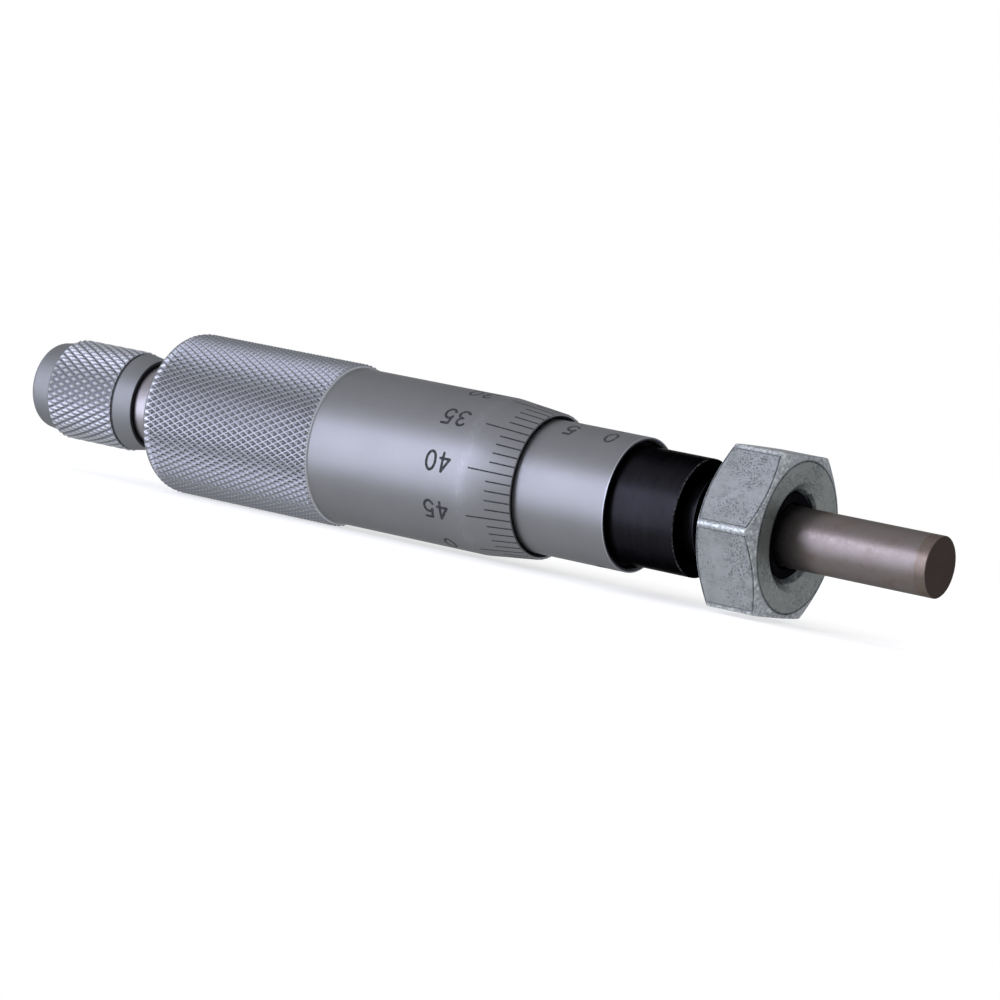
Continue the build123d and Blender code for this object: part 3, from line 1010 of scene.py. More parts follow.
@dataclass(frozen=True)
class StemOxide(Metal):
    """Black oxide that has rubbed off along the shoulder's edge, with a few specks of dust.

    Attributes:
        edge_radius: the radius of the shoulder's edge.
        bare: the steel under the oxide.
        dust: the colour of the specks.
    """

    edge_radius: float = 6.3
    bare: str = "#7d7d84"
    dust: str = "#6c6c72"

    def dress(self, coat: Coat) -> None:
        """Lay bare steel over the edge, where the oxide is chipped, and dust over the whole.

        Args:
            coat: the oxide.
        """
        along, out = coat.along_and_out()
        edge = coat.overlap(coat.band(along, -0.05, 0.03, 0.09), coat.band(out, self.edge_radius, 0.04, 0.09))
        coat.tint(self.bare, edge, coat.patches(1.6, 0.4, 0.62), coat.patches(0.3, 0.4, 0.6), 0.45)
        coat.tint(self.dust, coat.patches(0.25, 0.76, 0.79), 0.6)


# Steel, ground and black oxidised: nearly black with a faint bluish sheen, bare on the shoulder's edge
BLACK_OXIDE = StemOxide(
    "steel_black_oxide_rubbed", base="#202024", shade="#1a1a1d", roughness=0.36, grain_mm=0.2,
    grain_depth_mm=0.0006, lay=Lay.AROUND, cloud_mm=4.0, edge_tint="#808080", stretch=0.3)


@dataclass(frozen=True)
class SleeveChrome(Metal):
    """Satin chrome with a painted highlight along its front edge, and painted shade on its end face.

    Attributes:
        front: the station of the front face.
        edge_radius: the radius of its outer edge.
        oily: the painted shade on the end face.
        polished: the painted highlight along the edge.
    """

    front: float = 0.0
    edge_radius: float = 7.25
    oily: str = "#3a3c42"
    polished: str = "#c4c7d2"

    def dress(self, coat: Coat) -> None:
        """Lay painted shade over the end face and a painted highlight along the edge.

        Args:
            coat: the plate.
        """
        along, out = coat.along_and_out()
        # Painted shade on the end face, and a painted highlight along the front edge
        coat.tint(self.oily, coat.band(along, self.front, 0.01, 0.03))
        coat.tint(self.polished, coat.band(along, self.front - 0.06, 0.06, 0.08),
                  coat.band(out, self.edge_radius, 0.12, 0.16), 0.3)


@dataclass
class Sleeve:
    """The graduated sleeve: the CAD tube with its index line, millimetre lines and numbers.

    Attributes:
        zero_setback: from the sleeve's front to the zero line.
        index_angle: where the index line runs.
        index_beyond: how far it runs beyond the scale's ends.
        travel: the length of the scale.
        short: the arc of a line, in degrees.
        long: the arc of each fifth line.
        number_angle: from the index line to the middle of the numbers.
        line: the width of a line.
        digit_line: the width of a digit's stroke.
        digit_space: from one digit of a number to the next.
    """

    zero_setback: float = 3.03
    index_angle: float = 82.0
    index_beyond: float = 0.8
    travel: int = 25
    short: float = 14.0
    long: float = 20.0
    number_angle: float = 33.7
    line: float = 0.14
    digit_line: float = 0.29
    digit_space: float = 1.55

    def build(self) -> None:
        """Dress the sleeve and engrave its scale."""
        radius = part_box("sleeve")[1].y / MM
        # Steel, grit-blasted and satin chrome plated: an even bluish grey with a soft wide highlight
        dress_node("sleeve", SleeveChrome(
            "steel_blasted_satin_chrome", base="#7a7b7f", shade="#747579", roughness=0.46, grain_mm=0.16,
            grain_depth_mm=0.004, cloud_mm=7.0, front=station("sleeve", 1), edge_radius=radius))
        zero = station("sleeve", 1) - self.zero_setback
        engraving = Engraving(
            lambda x: radius, line=self.line, digit_line=self.digit_line, digit_space=self.digit_space)
        shape = Shape([])
        engraving.strip(shape, [(x, self.index_angle, 1.0) for x in (
            zero + self.index_beyond, zero - self.travel - self.index_beyond)], self.line)
        chords = 6
        for half in range(2 * self.travel + 1):
            # Whole millimetres stand on one side of the index line and halves on the other
            side = 1 if half % 2 == 0 else -1
            sweep = self.long if half % 10 == 0 else self.short
            engraving.strip(shape, [
                (zero - half / 2, self.index_angle + side * sweep * chord / chords, 1.0)
                for chord in range(chords + 1)], self.line)
        for value in range(0, self.travel + 1, 5):
            engraving.number(shape, str(value), zero - value, self.index_angle + self.number_angle)
        shape.piece("sleeve_scale", "sleeve", "satin_chrome", Ink())


@dataclass(frozen=True)
class ZincPlate(Metal):
    """Zinc plate, passivated bluish, handled and knocked; wear, painted highlights and shade follow the
    vertices.

    Attributes:
        worn: the bare metal of the edges, which is also a painted highlight.
        dent: the colour of the knocks in them.
        dull: the painted shade on the end faces and in the bore.
        line: the painted shade along the edges between the faces and in the bore's thread.
        stain: the colour of wide stains.
        smudge: the colour of smudges.
        speck: the colour of the specks, which come in clusters.
        scratch: the colour of fine scratches.
    """

    worn: str = "#c9ced2"
    dent: str = "#6c7276"
    dull: str = "#7f8282"
    line: str = "#303538"
    stain: str = "#787e7c"
    smudge: str = "#5c6266"
    speck: str = "#4c5256"
    scratch: str = "#565c60"

    def dress(self, coat: Coat) -> None:
        """Lay on painted shade and lines, stains, smudges, specks, scratches, and worn edges with a painted
        highlight.

        Args:
            coat: the plate.
        """
        tree = coat.tree
        wear, dull, line = (
            add(tree, "Attribute", attribute_name=name).outputs["Fac"] for name in ("wear", "dull", "line"))
        # Painted shade on the end faces and in the bore, and what handling left on all of it
        coat.tint(self.dull, dull)
        coat.tint(self.stain, coat.patches(3.5, 0.42, 0.62), 0.35)
        coat.tint(self.smudge, coat.patches(0.9, 0.45, 0.7), coat.patches(3.0, 0.42, 0.58), 0.45)
        coat.tint(self.speck, coat.patches(0.2, 0.5, 0.6), coat.patches(2.6, 0.42, 0.56), 0.8)
        # Scratches that run round the nut, and others along it
        scratches = add(tree, "Math", {
            0: coat.patches(0.12, 0.62, 0.7, (1.0, 0.06, 0.06)),
            1: coat.patches(0.12, 0.63, 0.71, (0.06, 1.0, 0.6))}, operation="MAXIMUM")
        coat.tint(self.scratch, scratches.outputs[0], 0.45)
        # Painted shade in lines along the edges between the faces and in the bore's thread, fainter in places
        broken = add(tree, "MapRange", {"Value": coat.patches(0.7, 0.3, 0.7), "To Min": 0.45})
        edge_shade = add(tree, "MapRange", {"Value": line, "From Min": 0.25, "From Max": 0.85})
        coat.tint(self.line, edge_shade.outputs[0], broken.outputs[0])
        # Edges rubbed bare, partly a painted highlight, with matt knocks so that they glint only here and
        # there
        uneven = add(tree, "Math", {
            0: coat.patches(0.5, 0.25, 0.75), 1: 0.9, 2: wear}, operation="MULTIPLY_ADD")
        rubbed = add(tree, "MapRange", {
            "Value": uneven.outputs[0], "From Min": 0.85, "From Max": 1.3, "To Max": 0.75})
        coat.tint(self.worn, rubbed.outputs[0])
        coat.tint(self.dent, wear, coat.patches(0.35, 0.46, 0.56), 0.6)
        knocked = coat.overlap(wear, coat.patches(0.6, 0.3, 0.55), 0.25)
        coat.rough = add(tree, "Math", {0: coat.rough, 1: knocked}, operation="ADD").outputs[0]


@dataclass
class ClampNut:
    """The hexagon nut: chamfered ends, worn corners with a painted highlight and the thread in its bore.

    Attributes:
        thread: the thread of the nose that the nut runs on.
        across_flats: the width over two flats.
        face_inset: from a flat to the edge of the round face.
        chamfer_angle: the slope of the chamfer from the face to the flats, in degrees.
        bore_radius: the radius in the roots of the nut's thread.
        minor_radius: the radius over its crests.
        countersink: how much wider than the roots the mouth is.
        countersink_angle: how steeply it narrows, in degrees.
        corner_round: the radius of the corners between the flats.
        corner_wear: how far from its middle a corner is rubbed bare and painted as a highlight, in degrees.
        corner_line: how far from it the line of painted shade beside it reaches.
        layers: what is written on the vertices for the finish, by name.
    """

    thread: Thread
    across_flats: float = 17.0
    face_inset: float = 0.5
    chamfer_angle: float = 25.0
    bore_radius: float = 5.03
    minor_radius: float = 4.46
    countersink: float = 0.67
    countersink_angle: float = 50.0
    corner_round: float = 0.35
    corner_wear: float = 2.5
    corner_line: float = 3.0
    layers: dict[str, bmesh.types.BMLayerItem] = field(default_factory=dict)

    def off_corner(self, angle: float) -> float:
        """Return the angle from the nearest corner of the hexagon, in radians."""
        return (angle + pi / 6) % (pi / 3) - pi / 6

    def hexagon(self, angle: float) -> float:
        """Find how far out the hexagon with its rounded corners reaches.

        Args:
            angle: the angle, in radians.

        Returns:
            The radius.
        """
        apothem = self.across_flats / 2
        off = self.off_corner(angle)
        centre = (apothem - self.corner_round) / cos(pi / 6)
        touch = atan2(self.corner_round * sin(pi / 6), centre + self.corner_round * cos(pi / 6))
        if abs(off) > touch:
            return apothem / cos(pi / 6 - abs(off))
        return centre * cos(off) + sqrt(self.corner_round ** 2 - (centre * sin(off)) ** 2)

    def build(self) -> None:
        """Build and dress the nut."""
        # Close together over the rounded corner and the line of painted shade beside it, and wide apart on the
        # flat
        offsets = (0.0, 0.6, 1.2, 1.8, 2.3, 2.8, 3.3, 5.5, 8.5, 11.5, 15.0, 19.0, 23.0, 27.0, 30.0)
        angles = {(60 * corner + side * offset) % 360
                  for corner in range(6) for offset in offsets for side in (-1, 1)}
        shape = Shape(sorted(angles))
        self.layers = {name: shape.mesh.verts.layers.float.new(name) for name in ("wear", "dull", "line")}
        back, front = station("clamp_nut", 0), station("clamp_nut", 1)
        sunk = self.bore_radius + self.countersink
        slope = tan(radians(self.countersink_angle))

        def bore(x: float, r: float) -> float:
            """Return the bore's radius, which its countersinks widen."""
            share = (r - self.thread.root) / (self.thread.crest - self.thread.root)
            ridge = self.minor_radius + share * (self.bore_radius - self.minor_radius)
            return max(ridge, sunk - min(x - back, front - x) * slope)

        rear, fore = self.thread.wall(shape, back, front, bore)
        rings = [fore, *self.end_rings(shape, front, -1), *reversed(self.end_rings(shape, back, 1)), rear]
        shape.skin(rings)
        slack = 0.01
        for vert in shape.mesh.verts:
            r = hypot(vert.co.y, vert.co.z)
            if r < sunk + slack:
                # The bore gets painted shade, and darker painted shade in its thread
                self.mark(vert, 0.0, 1.0, 0.9 if r < self.bore_radius + slack else 0.0)
        # Steel, zinc plated and passivated: a light bluish grey, with painted shade on the end faces and bore
        nut = shape.piece("clamp_nut_worn", "clamp_nut", "zinc_plate", ZincPlate(
            "steel_zinc_plated_passivated", base="#9a9da5", shade="#92959b", roughness=0.42,
            grain_mm=0.3, grain_depth_mm=0.004, cloud_mm=2.5, edge_tint="#a8a8a8"))
        weigh_normals(nut)
        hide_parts("clamp_nut")

    def end_rings(self, shape: Shape, end: float, sign: int) -> list[list[Vert]]:
        """Add the rings from a face of the nut over its chamfer to the flats.

        Args:
            shape: the mesh.
            end: the station of the face.
            sign: the way from the face into the nut.

        Returns:
            The rings, from the face on.
        """
        lean = tan(radians(self.chamfer_angle))
        face = self.across_flats / 2 - self.face_inset
        sunk = self.bore_radius + self.countersink
        rings = []
        # Each ring's radius, its depth below the face, its wear and painted highlight, and its painted shade
        # on faces and lines
        for r, drop, wear, dull, line in (
                (sunk + 0.08, 0.0, 0.2, 1.0, 0.5), (sunk + 0.25, 0.0, 0.2, 1.0, 0.0),
                (face - 0.2, 0.0, 0.2, 1.0, 0.0), (face - 0.05, 0.0, 0.0, 1.0, 0.9),
                (face + 0.04, 0.03, 0.0, 0.5, 0.9), (face + 0.2, 0.2 * lean, 0.45, 0.0, 0.0)):
            rings.append([self.mark(vert, wear, dull, line) for vert in shape.ring(end + sign * drop, r)])
        # How far a ring lies inwards on the chamfer or down the flat from the edge between the two
        for inwards, down, wear, line in (
                (0.16, 0.0, 0.5, 0.0), (0.05, 0.0, 0.7, 0.0), (0.0, 0.07, 0.1, 0.9), (0.0, 0.13, 0.0, 0.9),
                (0.0, 0.3, 0.0, 0.0)):
            ring = []
            for angle in shape.angles:
                edge = self.hexagon(angle)
                r = edge - inwards
                x = end + sign * ((r - face) * lean + down)
                vert = shape.mesh.verts.new(about_axis(x, r, angle))
                off = degrees(abs(self.off_corner(angle)))
                if off < self.corner_wear:
                    # The corner itself is rubbed bare and painted as a highlight, less and less away from its
                    # middle
                    ring.append(self.mark(vert, max(wear, 1.05 - 0.3 * off), 0.0, 0.0))
                else:
                    beside = down > 0.1 and off < self.corner_line
                    ring.append(self.mark(vert, wear, 0.0, 1.0 if beside else line))
            rings.append(ring)
        return rings

    def mark(self, vert: Vert, wear: float, dull: float, line: float) -> Vert:
        """Write on a vertex how its finish differs.

        Args:
            vert: the vertex.
            wear: how worn it is, and how strongly it is painted as a highlight.
            dull: how much painted shade of the end faces and bore it gets.
            line: how much painted shade it gets, along the edges between the faces.

        Returns:
            The vertex.
        """
        for name, value in (("wear", wear), ("dull", dull), ("line", line)):
            vert[self.layers[name]] = value
        return vert


@dataclass(frozen=True)
class GroundSteel(Metal):
    """Cylindrically ground steel with stains, rust pits just ahead of the nose, and painted shade on the tip's
    end face.

    Attributes:
        pits_at: the station of the pits.
        tip: the station of the tip's end face, which gets painted shade.
        stain: the colour of the stains.
        pit: the colour of the pits.
        lapped: the painted shade on the end face.
    """

    pits_at: float = NOWHERE
    tip: float = NOWHERE
    stain: str = "#5b4f49"
    pit: str = "#2a2828"
    lapped: str = "#3f3836"

    def dress(self, coat: Coat) -> None:
        """Lay on the stains, the pits and the painted shade on the end face.

        Args:
            coat: the steel.
        """
        along, _ = coat.along_and_out()
        coat.tint(self.stain, coat.patches(1.8, 0.5, 0.68), 0.4)
        coat.tint(self.pit, coat.patches(0.24, 0.66, 0.71), coat.band(along, self.pits_at, 1.0, 3.2), 0.8)
        # Painted shade: the tip's end face is darkened
        coat.tint(self.lapped, coat.band(along, self.tip, 0.01, 0.04))


@dataclass
class Spindle:
    """The ground spindle and its carbide face, both straight from the frame.

    Attributes:
        pits_ahead: from the nose to the pits.
    """

    pits_ahead: float = 2.2

    def build(self) -> None:
        """Dress the spindle and its tip."""
        ground = {
            "roughness": 0.37, "grain_mm": 0.3, "grain_depth_mm": 0.0002, "cloud_mm": 2.0, "stretch": 0.5}
        # Tool steel, cylindrically ground: brownish grey, mottled, with one wide soft streak along it
        dress_node("spindle", GroundSteel(
            "tool_steel_ground", base="#6a6464", shade="#676160",
            pits_at=station("stem", 1) + self.pits_ahead, **ground))
        # Cemented carbide, ground with the rod and lapped flat: browner, with painted shade on its face
        dress_node("carbide_tip", GroundSteel(
            "cemented_carbide_lapped", base="#675d59", shade="#5c534e",
            tip=station("carbide_tip", 1), **ground))


@dataclass(frozen=True)
class KnurledChrome(Metal):
    """Satin chrome: painted highlights and shade on the knurl and its edge, a scuffed band, painted shade on
    the face.

    Attributes:
        knurl: the knurl.
        knurl_front: the station where the knurl starts, whose edge gets a painted highlight.
        front: the station of the front face.
        face_middle: the middle radius of the part of that face which gets painted shade.
        face_half: half of its width.
        scuff_at: the station of the scuffed band.
        scuff_half: half of its length.
        knurl_roughness: the roughness of the knurl, which the wheel has burnished.
        grime_start: the share of the depth at which the painted shade on the flanks starts.
        grime_reach: the share down to which it reaches. Over 1, the bottoms get painted shade too.
        pressed: the painted highlight on the knurl's crests and groove bottoms.
        grime: the painted shade on its flanks.
        scuff: the colour of the scuffs.
        polished: the painted highlight on the knurl's edge.
        oily: the painted shade on the front face.
    """

    knurl: Knurl | None = None
    knurl_front: float = NOWHERE
    front: float = NOWHERE
    face_middle: float = 0.0
    face_half: float = 0.0
    scuff_at: float = NOWHERE
    scuff_half: float = 1.0
    knurl_roughness: float = 0.32
    grime_start: float = 0.16
    grime_reach: float = 0.84
    pressed: str = "#9ea0a7"
    grime: str = "#5e6068"
    scuff: str = "#a3a6af"
    polished: str = "#b9bcc8"
    oily: str = "#1c1d20"

    def dress(self, coat: Coat) -> None:
        """Lay on the knurl's painted highlights and shade, the scuffs, the edge's painted highlight and the
        face's painted shade.

        Args:
            coat: the plate.
        """
        crest, depth = self.knurl.crest, self.knurl.depth
        along, out = coat.along_and_out()
        behind = add(coat.tree, "Math", {0: along, 1: self.knurl_front * MM}, operation="LESS_THAN")
        # A little deeper than the grooves, so that their bottoms are in it
        knurled = coat.overlap(coat.band(out, crest, 1.2 * depth, 1.25 * depth), behind.outputs[0])
        # Painted highlight: the knurl's crests and groove bottoms are lightened
        coat.tint(self.pressed, knurled)
        # Painted shade: the flanks, and where the band reaches them the groove bottoms, are darkened
        middle = (self.grime_start + self.grime_reach) / 2 * depth
        half = (self.grime_reach - self.grime_start) / 2 * depth
        coat.tint(self.grime, coat.band(out, crest - middle, half, half + 0.1 * depth), knurled, 0.75)
        streaks = coat.overlap(coat.patches(0.5, 0.4, 0.75, (3.0, 0.7, 0.7)), coat.patches(3.0, 0.35, 0.65))
        coat.tint(self.scuff, coat.band(along, self.scuff_at, 0.2, self.scuff_half), streaks, 0.4)
        # Painted highlight: a bright line along the knurl's front edge
        coat.tint(self.polished, coat.band(along, self.knurl_front, 0.03, 0.08), 0.3)
        # Painted shade: the front face is darkened, as the gap in front of it is in shade
        coat.tint(self.oily, coat.band(along, self.front, 0.02, 0.05),
                  coat.band(out, self.face_middle, self.face_half, self.face_half + 0.02))
        coat.rough = add(coat.tree, "Mix", {0: knurled, 2: coat.rough, 3: self.knurl_roughness}).outputs[0]


# How both knurled pieces were made: grit-blasted and satin chrome plated after the knurling
CHROMED = {"grain_mm": 0.16, "grain_depth_mm": 0.004}


@dataclass
class Thimble:
    """The thimble: bevelled and graduated edge, plain barrel, knurled grip and bored hub.

    Attributes:
        knurl: the knurl of the grip.
        radius: the plain barrel's radius.
        edge_radius: the radius at the bevel's edge.
        bevel_length: the length of the bevel.
        eased_behind: how far behind the bevel's rear end its corner is eased.
        eased_ahead: how far ahead of it.
        edge_break: how far the corners of the front edge are broken.
        bore_radius: the radius of the bore that runs over the sleeve.
        knurl_setback: from the edge to the knurl.
        knurl_rise: the height and length of the slope up to the knurl.
        back_round: the rounding at the rear.
        hub_length: the length of the hub, behind the bore.
        cone_front: the radius in front of the cone that sits on the spindle.
        cone_back: the radius behind it.
        end_recess: from the rear face to the cone.
        back_chamfer: the chamfer of the rear hole.
        divisions: the lines round the edge.
        short: the length of a line.
        long: the length of each fifth line.
        number_setback: from the edge to the middle of the numbers.
        sight_division: the line that the photograph shows best.
        sight_angle: the angle at which it lies there.
    """

    knurl: Knurl
    radius: float = 8.6
    edge_radius: float = 7.92
    bevel_length: float = 6.05
    eased_behind: float = 0.2
    eased_ahead: float = 0.35
    edge_break: float = 0.05
    bore_radius: float = 7.45
    knurl_setback: float = 25.9
    knurl_rise: float = 0.45
    back_round: float = 1.8
    hub_length: float = 8.0
    cone_front: float = 3.53
    cone_back: float = 3.03
    end_recess: float = 1.0
    back_chamfer: float = 0.3
    divisions: int = 50
    short: float = 3.0
    long: float = 5.3
    number_setback: float = 9.15
    sight_division: int = 40
    sight_angle: float = 175.63

    def build(self) -> None:
        """Build and dress the thimble and its scale."""
        back, edge = station("thimble", 0), station("thimble", 1)
        knurl_front = edge - self.knurl_setback
        rows = ceil((knurl_front - back) / self.knurl.pitch)
        wall_front = back + rows * self.knurl.pitch
        blank = [
            *quarter_round(back, self.knurl.crest, self.back_round),
            (knurl_front - self.knurl_rise, self.knurl.crest),
            (knurl_front - 0.6 * self.knurl_rise, self.knurl.crest - 0.4 * self.knurl_rise),
            (knurl_front, self.radius), (wall_front, self.radius)]
        shape = Shape([])
        rear, front = self.knurl.wall(shape, back, rows, blank)
        bevel = edge - self.bevel_length
        hub = back + self.hub_length
        outline = [
            (bevel - self.eased_behind, self.radius),
            (bevel + self.eased_ahead, self.bevel_radius(edge, bevel + self.eased_ahead)),
            (edge - 1.2 * self.edge_break, self.edge_radius + 0.1 * self.edge_break),
            (edge, self.edge_radius - self.edge_break), (edge, self.bore_radius + self.edge_break),
            (edge - self.edge_break, self.bore_radius),
            (hub, self.bore_radius), (hub, self.cone_front), (back + self.end_recess, self.cone_back),
            (back + self.back_chamfer, self.cone_back), (back, self.cone_back + self.back_chamfer)]
        shape.turn(outline, before=front, after=rear)
        # Steel, knurled and satin chrome plated: a bluish grey with a soft wide highlight, and painted shade
        # on the knurl's flanks
        thimble = shape.piece("thimble_knurled", "thimble", "satin_chrome", KnurledChrome(
            "steel_knurled_satin_chrome", base="#7a7b7f", shade="#747579", roughness=0.46, cloud_mm=7.0,
            knurl=self.knurl, knurl_front=knurl_front - 0.3 * self.knurl_rise, front=edge,
            face_middle=self.bore_radius + 0.1, face_half=0.1, scuff_at=bevel, **CHROMED))
        round_normals(thimble)
        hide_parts("thimble")
        self.engrave(edge)

    def bevel_radius(self, edge: float, x: float) -> float:
        """Return the radius of the bevel or the barrel at a station."""
        share = min(1.0, max(0.0, (edge - x) / self.bevel_length))
        return self.edge_radius + share * (self.radius - self.edge_radius)

    def engrave(self, edge: float) -> None:
        """Engrave the lines and numbers round the edge.

        Args:
            edge: the station of the thimble's edge.
        """
        engraving = Engraving(lambda x: self.bevel_radius(edge, x))
        shape = Shape([])
        for division in range(self.divisions):
            angle = self.sight_angle + (division - self.sight_division) * 360 / self.divisions
            numbered = division % 5 == 0
            length = self.long if numbered else self.short
            engraving.strip(shape, [(edge - 0.02, angle, 1.0), (edge - length, angle, 1.0)], engraving.line)
            if numbered:
                engraving.number(shape, str(division), edge - self.number_setback, angle)
        shape.piece("thimble_scale", "thimble", "satin_chrome", Ink())


@dataclass
class RatchetStop:
    """The ratchet stop: shaft, spring, wheels, knurled knob and end screw.

    Attributes:
        knurl: the knurl of the knob.
        front_radius: the radius of the front face.
        band_radius: the radius of the plain band behind it, which widens that far.
        band_length: the length of that band.
        groove_radius: the radius of the groove behind the band.
        groove_width: its width.
        groove_fillet: the fillets in its corners.
        band_break: how far the band's rear edge is broken.
        front_break: how far its front edge is broken.
        knurl_length: the length of the knurl.
        step_length: the length of the slope down from it.
        neck_radius: the radius behind that slope.
        nose_radius: the radius ahead of the rear rounding.
        nose_round: the rear rounding.
        bore_radius: the radius of the bore for the wheels.
        bottom: from the rear face to the bore's bottom.
        post_bore: the radius of the hole for the shaft's post.
        pocket_radius: the radius of the pocket for the screw's head.
        pocket_depth: its depth.
        front_chamfer: the chamfer on the knurl's front edge.
        deburred: how far sharp edges are broken.
    """

    knurl: Knurl
    front_radius: float = 5.1
    band_radius: float = 5.5
    band_length: float = 2.3
    groove_radius: float = 5.25
    groove_width: float = 0.3
    groove_fillet: float = 0.03
    band_break: float = 0.06
    front_break: float = 0.05
    knurl_length: float = 8.8
    step_length: float = 0.45
    neck_radius: float = 5.25
    nose_radius: float = 4.925
    nose_round: float = 1.3
    bore_radius: float = 4.75
    bottom: float = 4.1
    post_bore: float = 2.03
    pocket_radius: float = 3.1
    pocket_depth: float = 1.9
    front_chamfer: float = 0.14
    deburred: float = 0.04

    def build(self) -> None:
        """Build and dress the knob and dress the pieces in it."""
        back, front = station("ratchet_knob", 0), station("ratchet_knob", 1)
        band_back = front - self.band_length
        knurl_front = band_back - self.groove_width
        knurl_back = knurl_front - self.knurl_length
        neck = knurl_back - self.step_length
        rows = ceil((knurl_front - neck) / self.knurl.pitch)
        wall_back = knurl_front - rows * self.knurl.pitch
        nose = quarter_round(back, self.nose_radius, self.nose_round)
        blank = [
            *nose, (neck, self.neck_radius), (knurl_back, self.knurl.crest),
            (knurl_front - self.front_chamfer, self.knurl.crest),
            (knurl_front, self.knurl.crest - self.front_chamfer)]
        shape = Shape([])
        rear, fore = self.knurl.wall(shape, wall_back, rows, blank)
        floor_at = back + self.bottom
        pocket = back + self.pocket_depth
        ahead = [
            (knurl_front, self.groove_radius + self.groove_fillet),
            (knurl_front + self.groove_fillet, self.groove_radius),
            (band_back - self.groove_fillet, self.groove_radius),
            (band_back, self.groove_radius + self.groove_fillet),
            (band_back, self.band_radius - self.band_break), (band_back + self.band_break, self.band_radius),
            (front - self.front_break, self.front_radius + 0.4 * self.front_break),
            (front, self.front_radius - self.front_break),
            (front, self.bore_radius + self.deburred), (front - self.deburred, self.bore_radius)]
        inside = [
            (floor_at, self.bore_radius), (floor_at, self.post_bore), (pocket, self.post_bore),
            (pocket, self.pocket_radius), (back + self.deburred, self.pocket_radius),
            (back, self.pocket_radius + self.deburred)]
        # The knurled wall is a whole number of diamonds long, and takes the place of the rounding there
        sliver = 0.02
        behind = [(x, r) for x, r in nose if x < wall_back - sliver]
        shape.turn([*ahead, *inside, *behind], before=fore, after=rear)
        # Steel, knurled and satin chrome plated: rougher than the thimble, with painted shade in the grooves
        # of its knurl
        knob = shape.piece("ratchet_knob_knurled", "knob", "satin_chrome", KnurledChrome(
            "steel_knob_satin_chrome", base="#787a7e", shade="#727478", roughness=0.55, cloud_mm=5.0,
            knurl=self.knurl, knurl_front=knurl_front - 0.5 * self.front_chamfer, front=front,
            face_middle=(self.front_radius + self.bore_radius) / 2, face_half=0.07, knurl_roughness=0.4,
            grime_start=0.62, grime_reach=1.2, **CHROMED))
        round_normals(knob)
        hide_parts("ratchet_knob")
        dress_node("ratchet_shaft", TURNED_STEEL)
        dress_node("ratchet_spring", DRAWN_WIRE)
        for node in ("sliding_ratchet", "fixed_ratchet", "knob_screw"):
            dress_node(node, MACHINED_STEEL)


@dataclass(frozen=True)
class Window:
    """A lamp with a flat front that faces the object, as a window or a softbox does.

    Attributes:
        name: its name.
        place: from the object to its middle, in millimetres.
        size: its width and height, in millimetres.
        level: how bright its front is, where a white background is 1.
        lean: how far it is turned about the way to the object, in degrees.
        tint: its colour, as sRGB hex.
    """

    name: str
    place: Vector
    size: tuple[float, float]
    level: float
    lean: float = 0.0
    tint: str = "#e6ebff"

    def hang(self, target: Vector) -> None:
        """Hang the lamp.

        Args:
            target: the place of the object, in millimetres.
        """
        lamp = bpy.data.lights.new(self.name, "AREA")
        lamp.shape = "RECTANGLE"
        lamp.size, lamp.size_y = self.size[0] * MM, self.size[1] * MM
        lamp.energy = self.level * pi * lamp.size * lamp.size_y
        lamp.color = linear(self.tint)[:3]
        holder = show(bpy.data.objects.new(self.name, lamp))
        holder.matrix_world = facing(target, self.place, self.lean)


def direction(azimuth: float, elevation: float) -> Vector:
    """Return the way from the object to a place in the studio, for angles in degrees."""
    a, e = radians(azimuth), radians(elevation)
    return Vector((sin(a) * cos(e), -cos(a) * cos(e), sin(e)))


def facing(target: Vector, away: Vector, lean: float) -> Matrix:
    """Return where something stands that looks at the object.

    Args:
        target: the place of the object, in millimetres.
        away: from there to its own place.
        lean: how far it is turned about that way, in degrees.

    Returns:
        Its matrix, in metres.
    """
    upright = away.to_track_quat("Z", "Y").to_matrix().to_4x4()
    return Matrix.Translation((target + away) * MM) @ upright @ Matrix.Rotation(radians(lean), 4, "Z")


# A window low on the left gives the long highlight, and a small one above it the spindle's streak.
# The facets of the knurls need one further to the left and one in front.
WINDOWS = (
    Window("window", direction(-32.0, -1.0) * 650, (300.0, 720.0), 4.3, lean=-26.0),
    Window("upper_window", Vector((-240.0, -500.0, 245.0)), (190.0, 150.0), 5.5, lean=-10.0, tint="#e9e6ff"),
    Window("side_window", direction(-74.0, 6.0) * 650, (300.0, 420.0), 3.8),
    Window("front_window", direction(10.0, 12.0) * 750, (300.0, 420.0), 2.0))


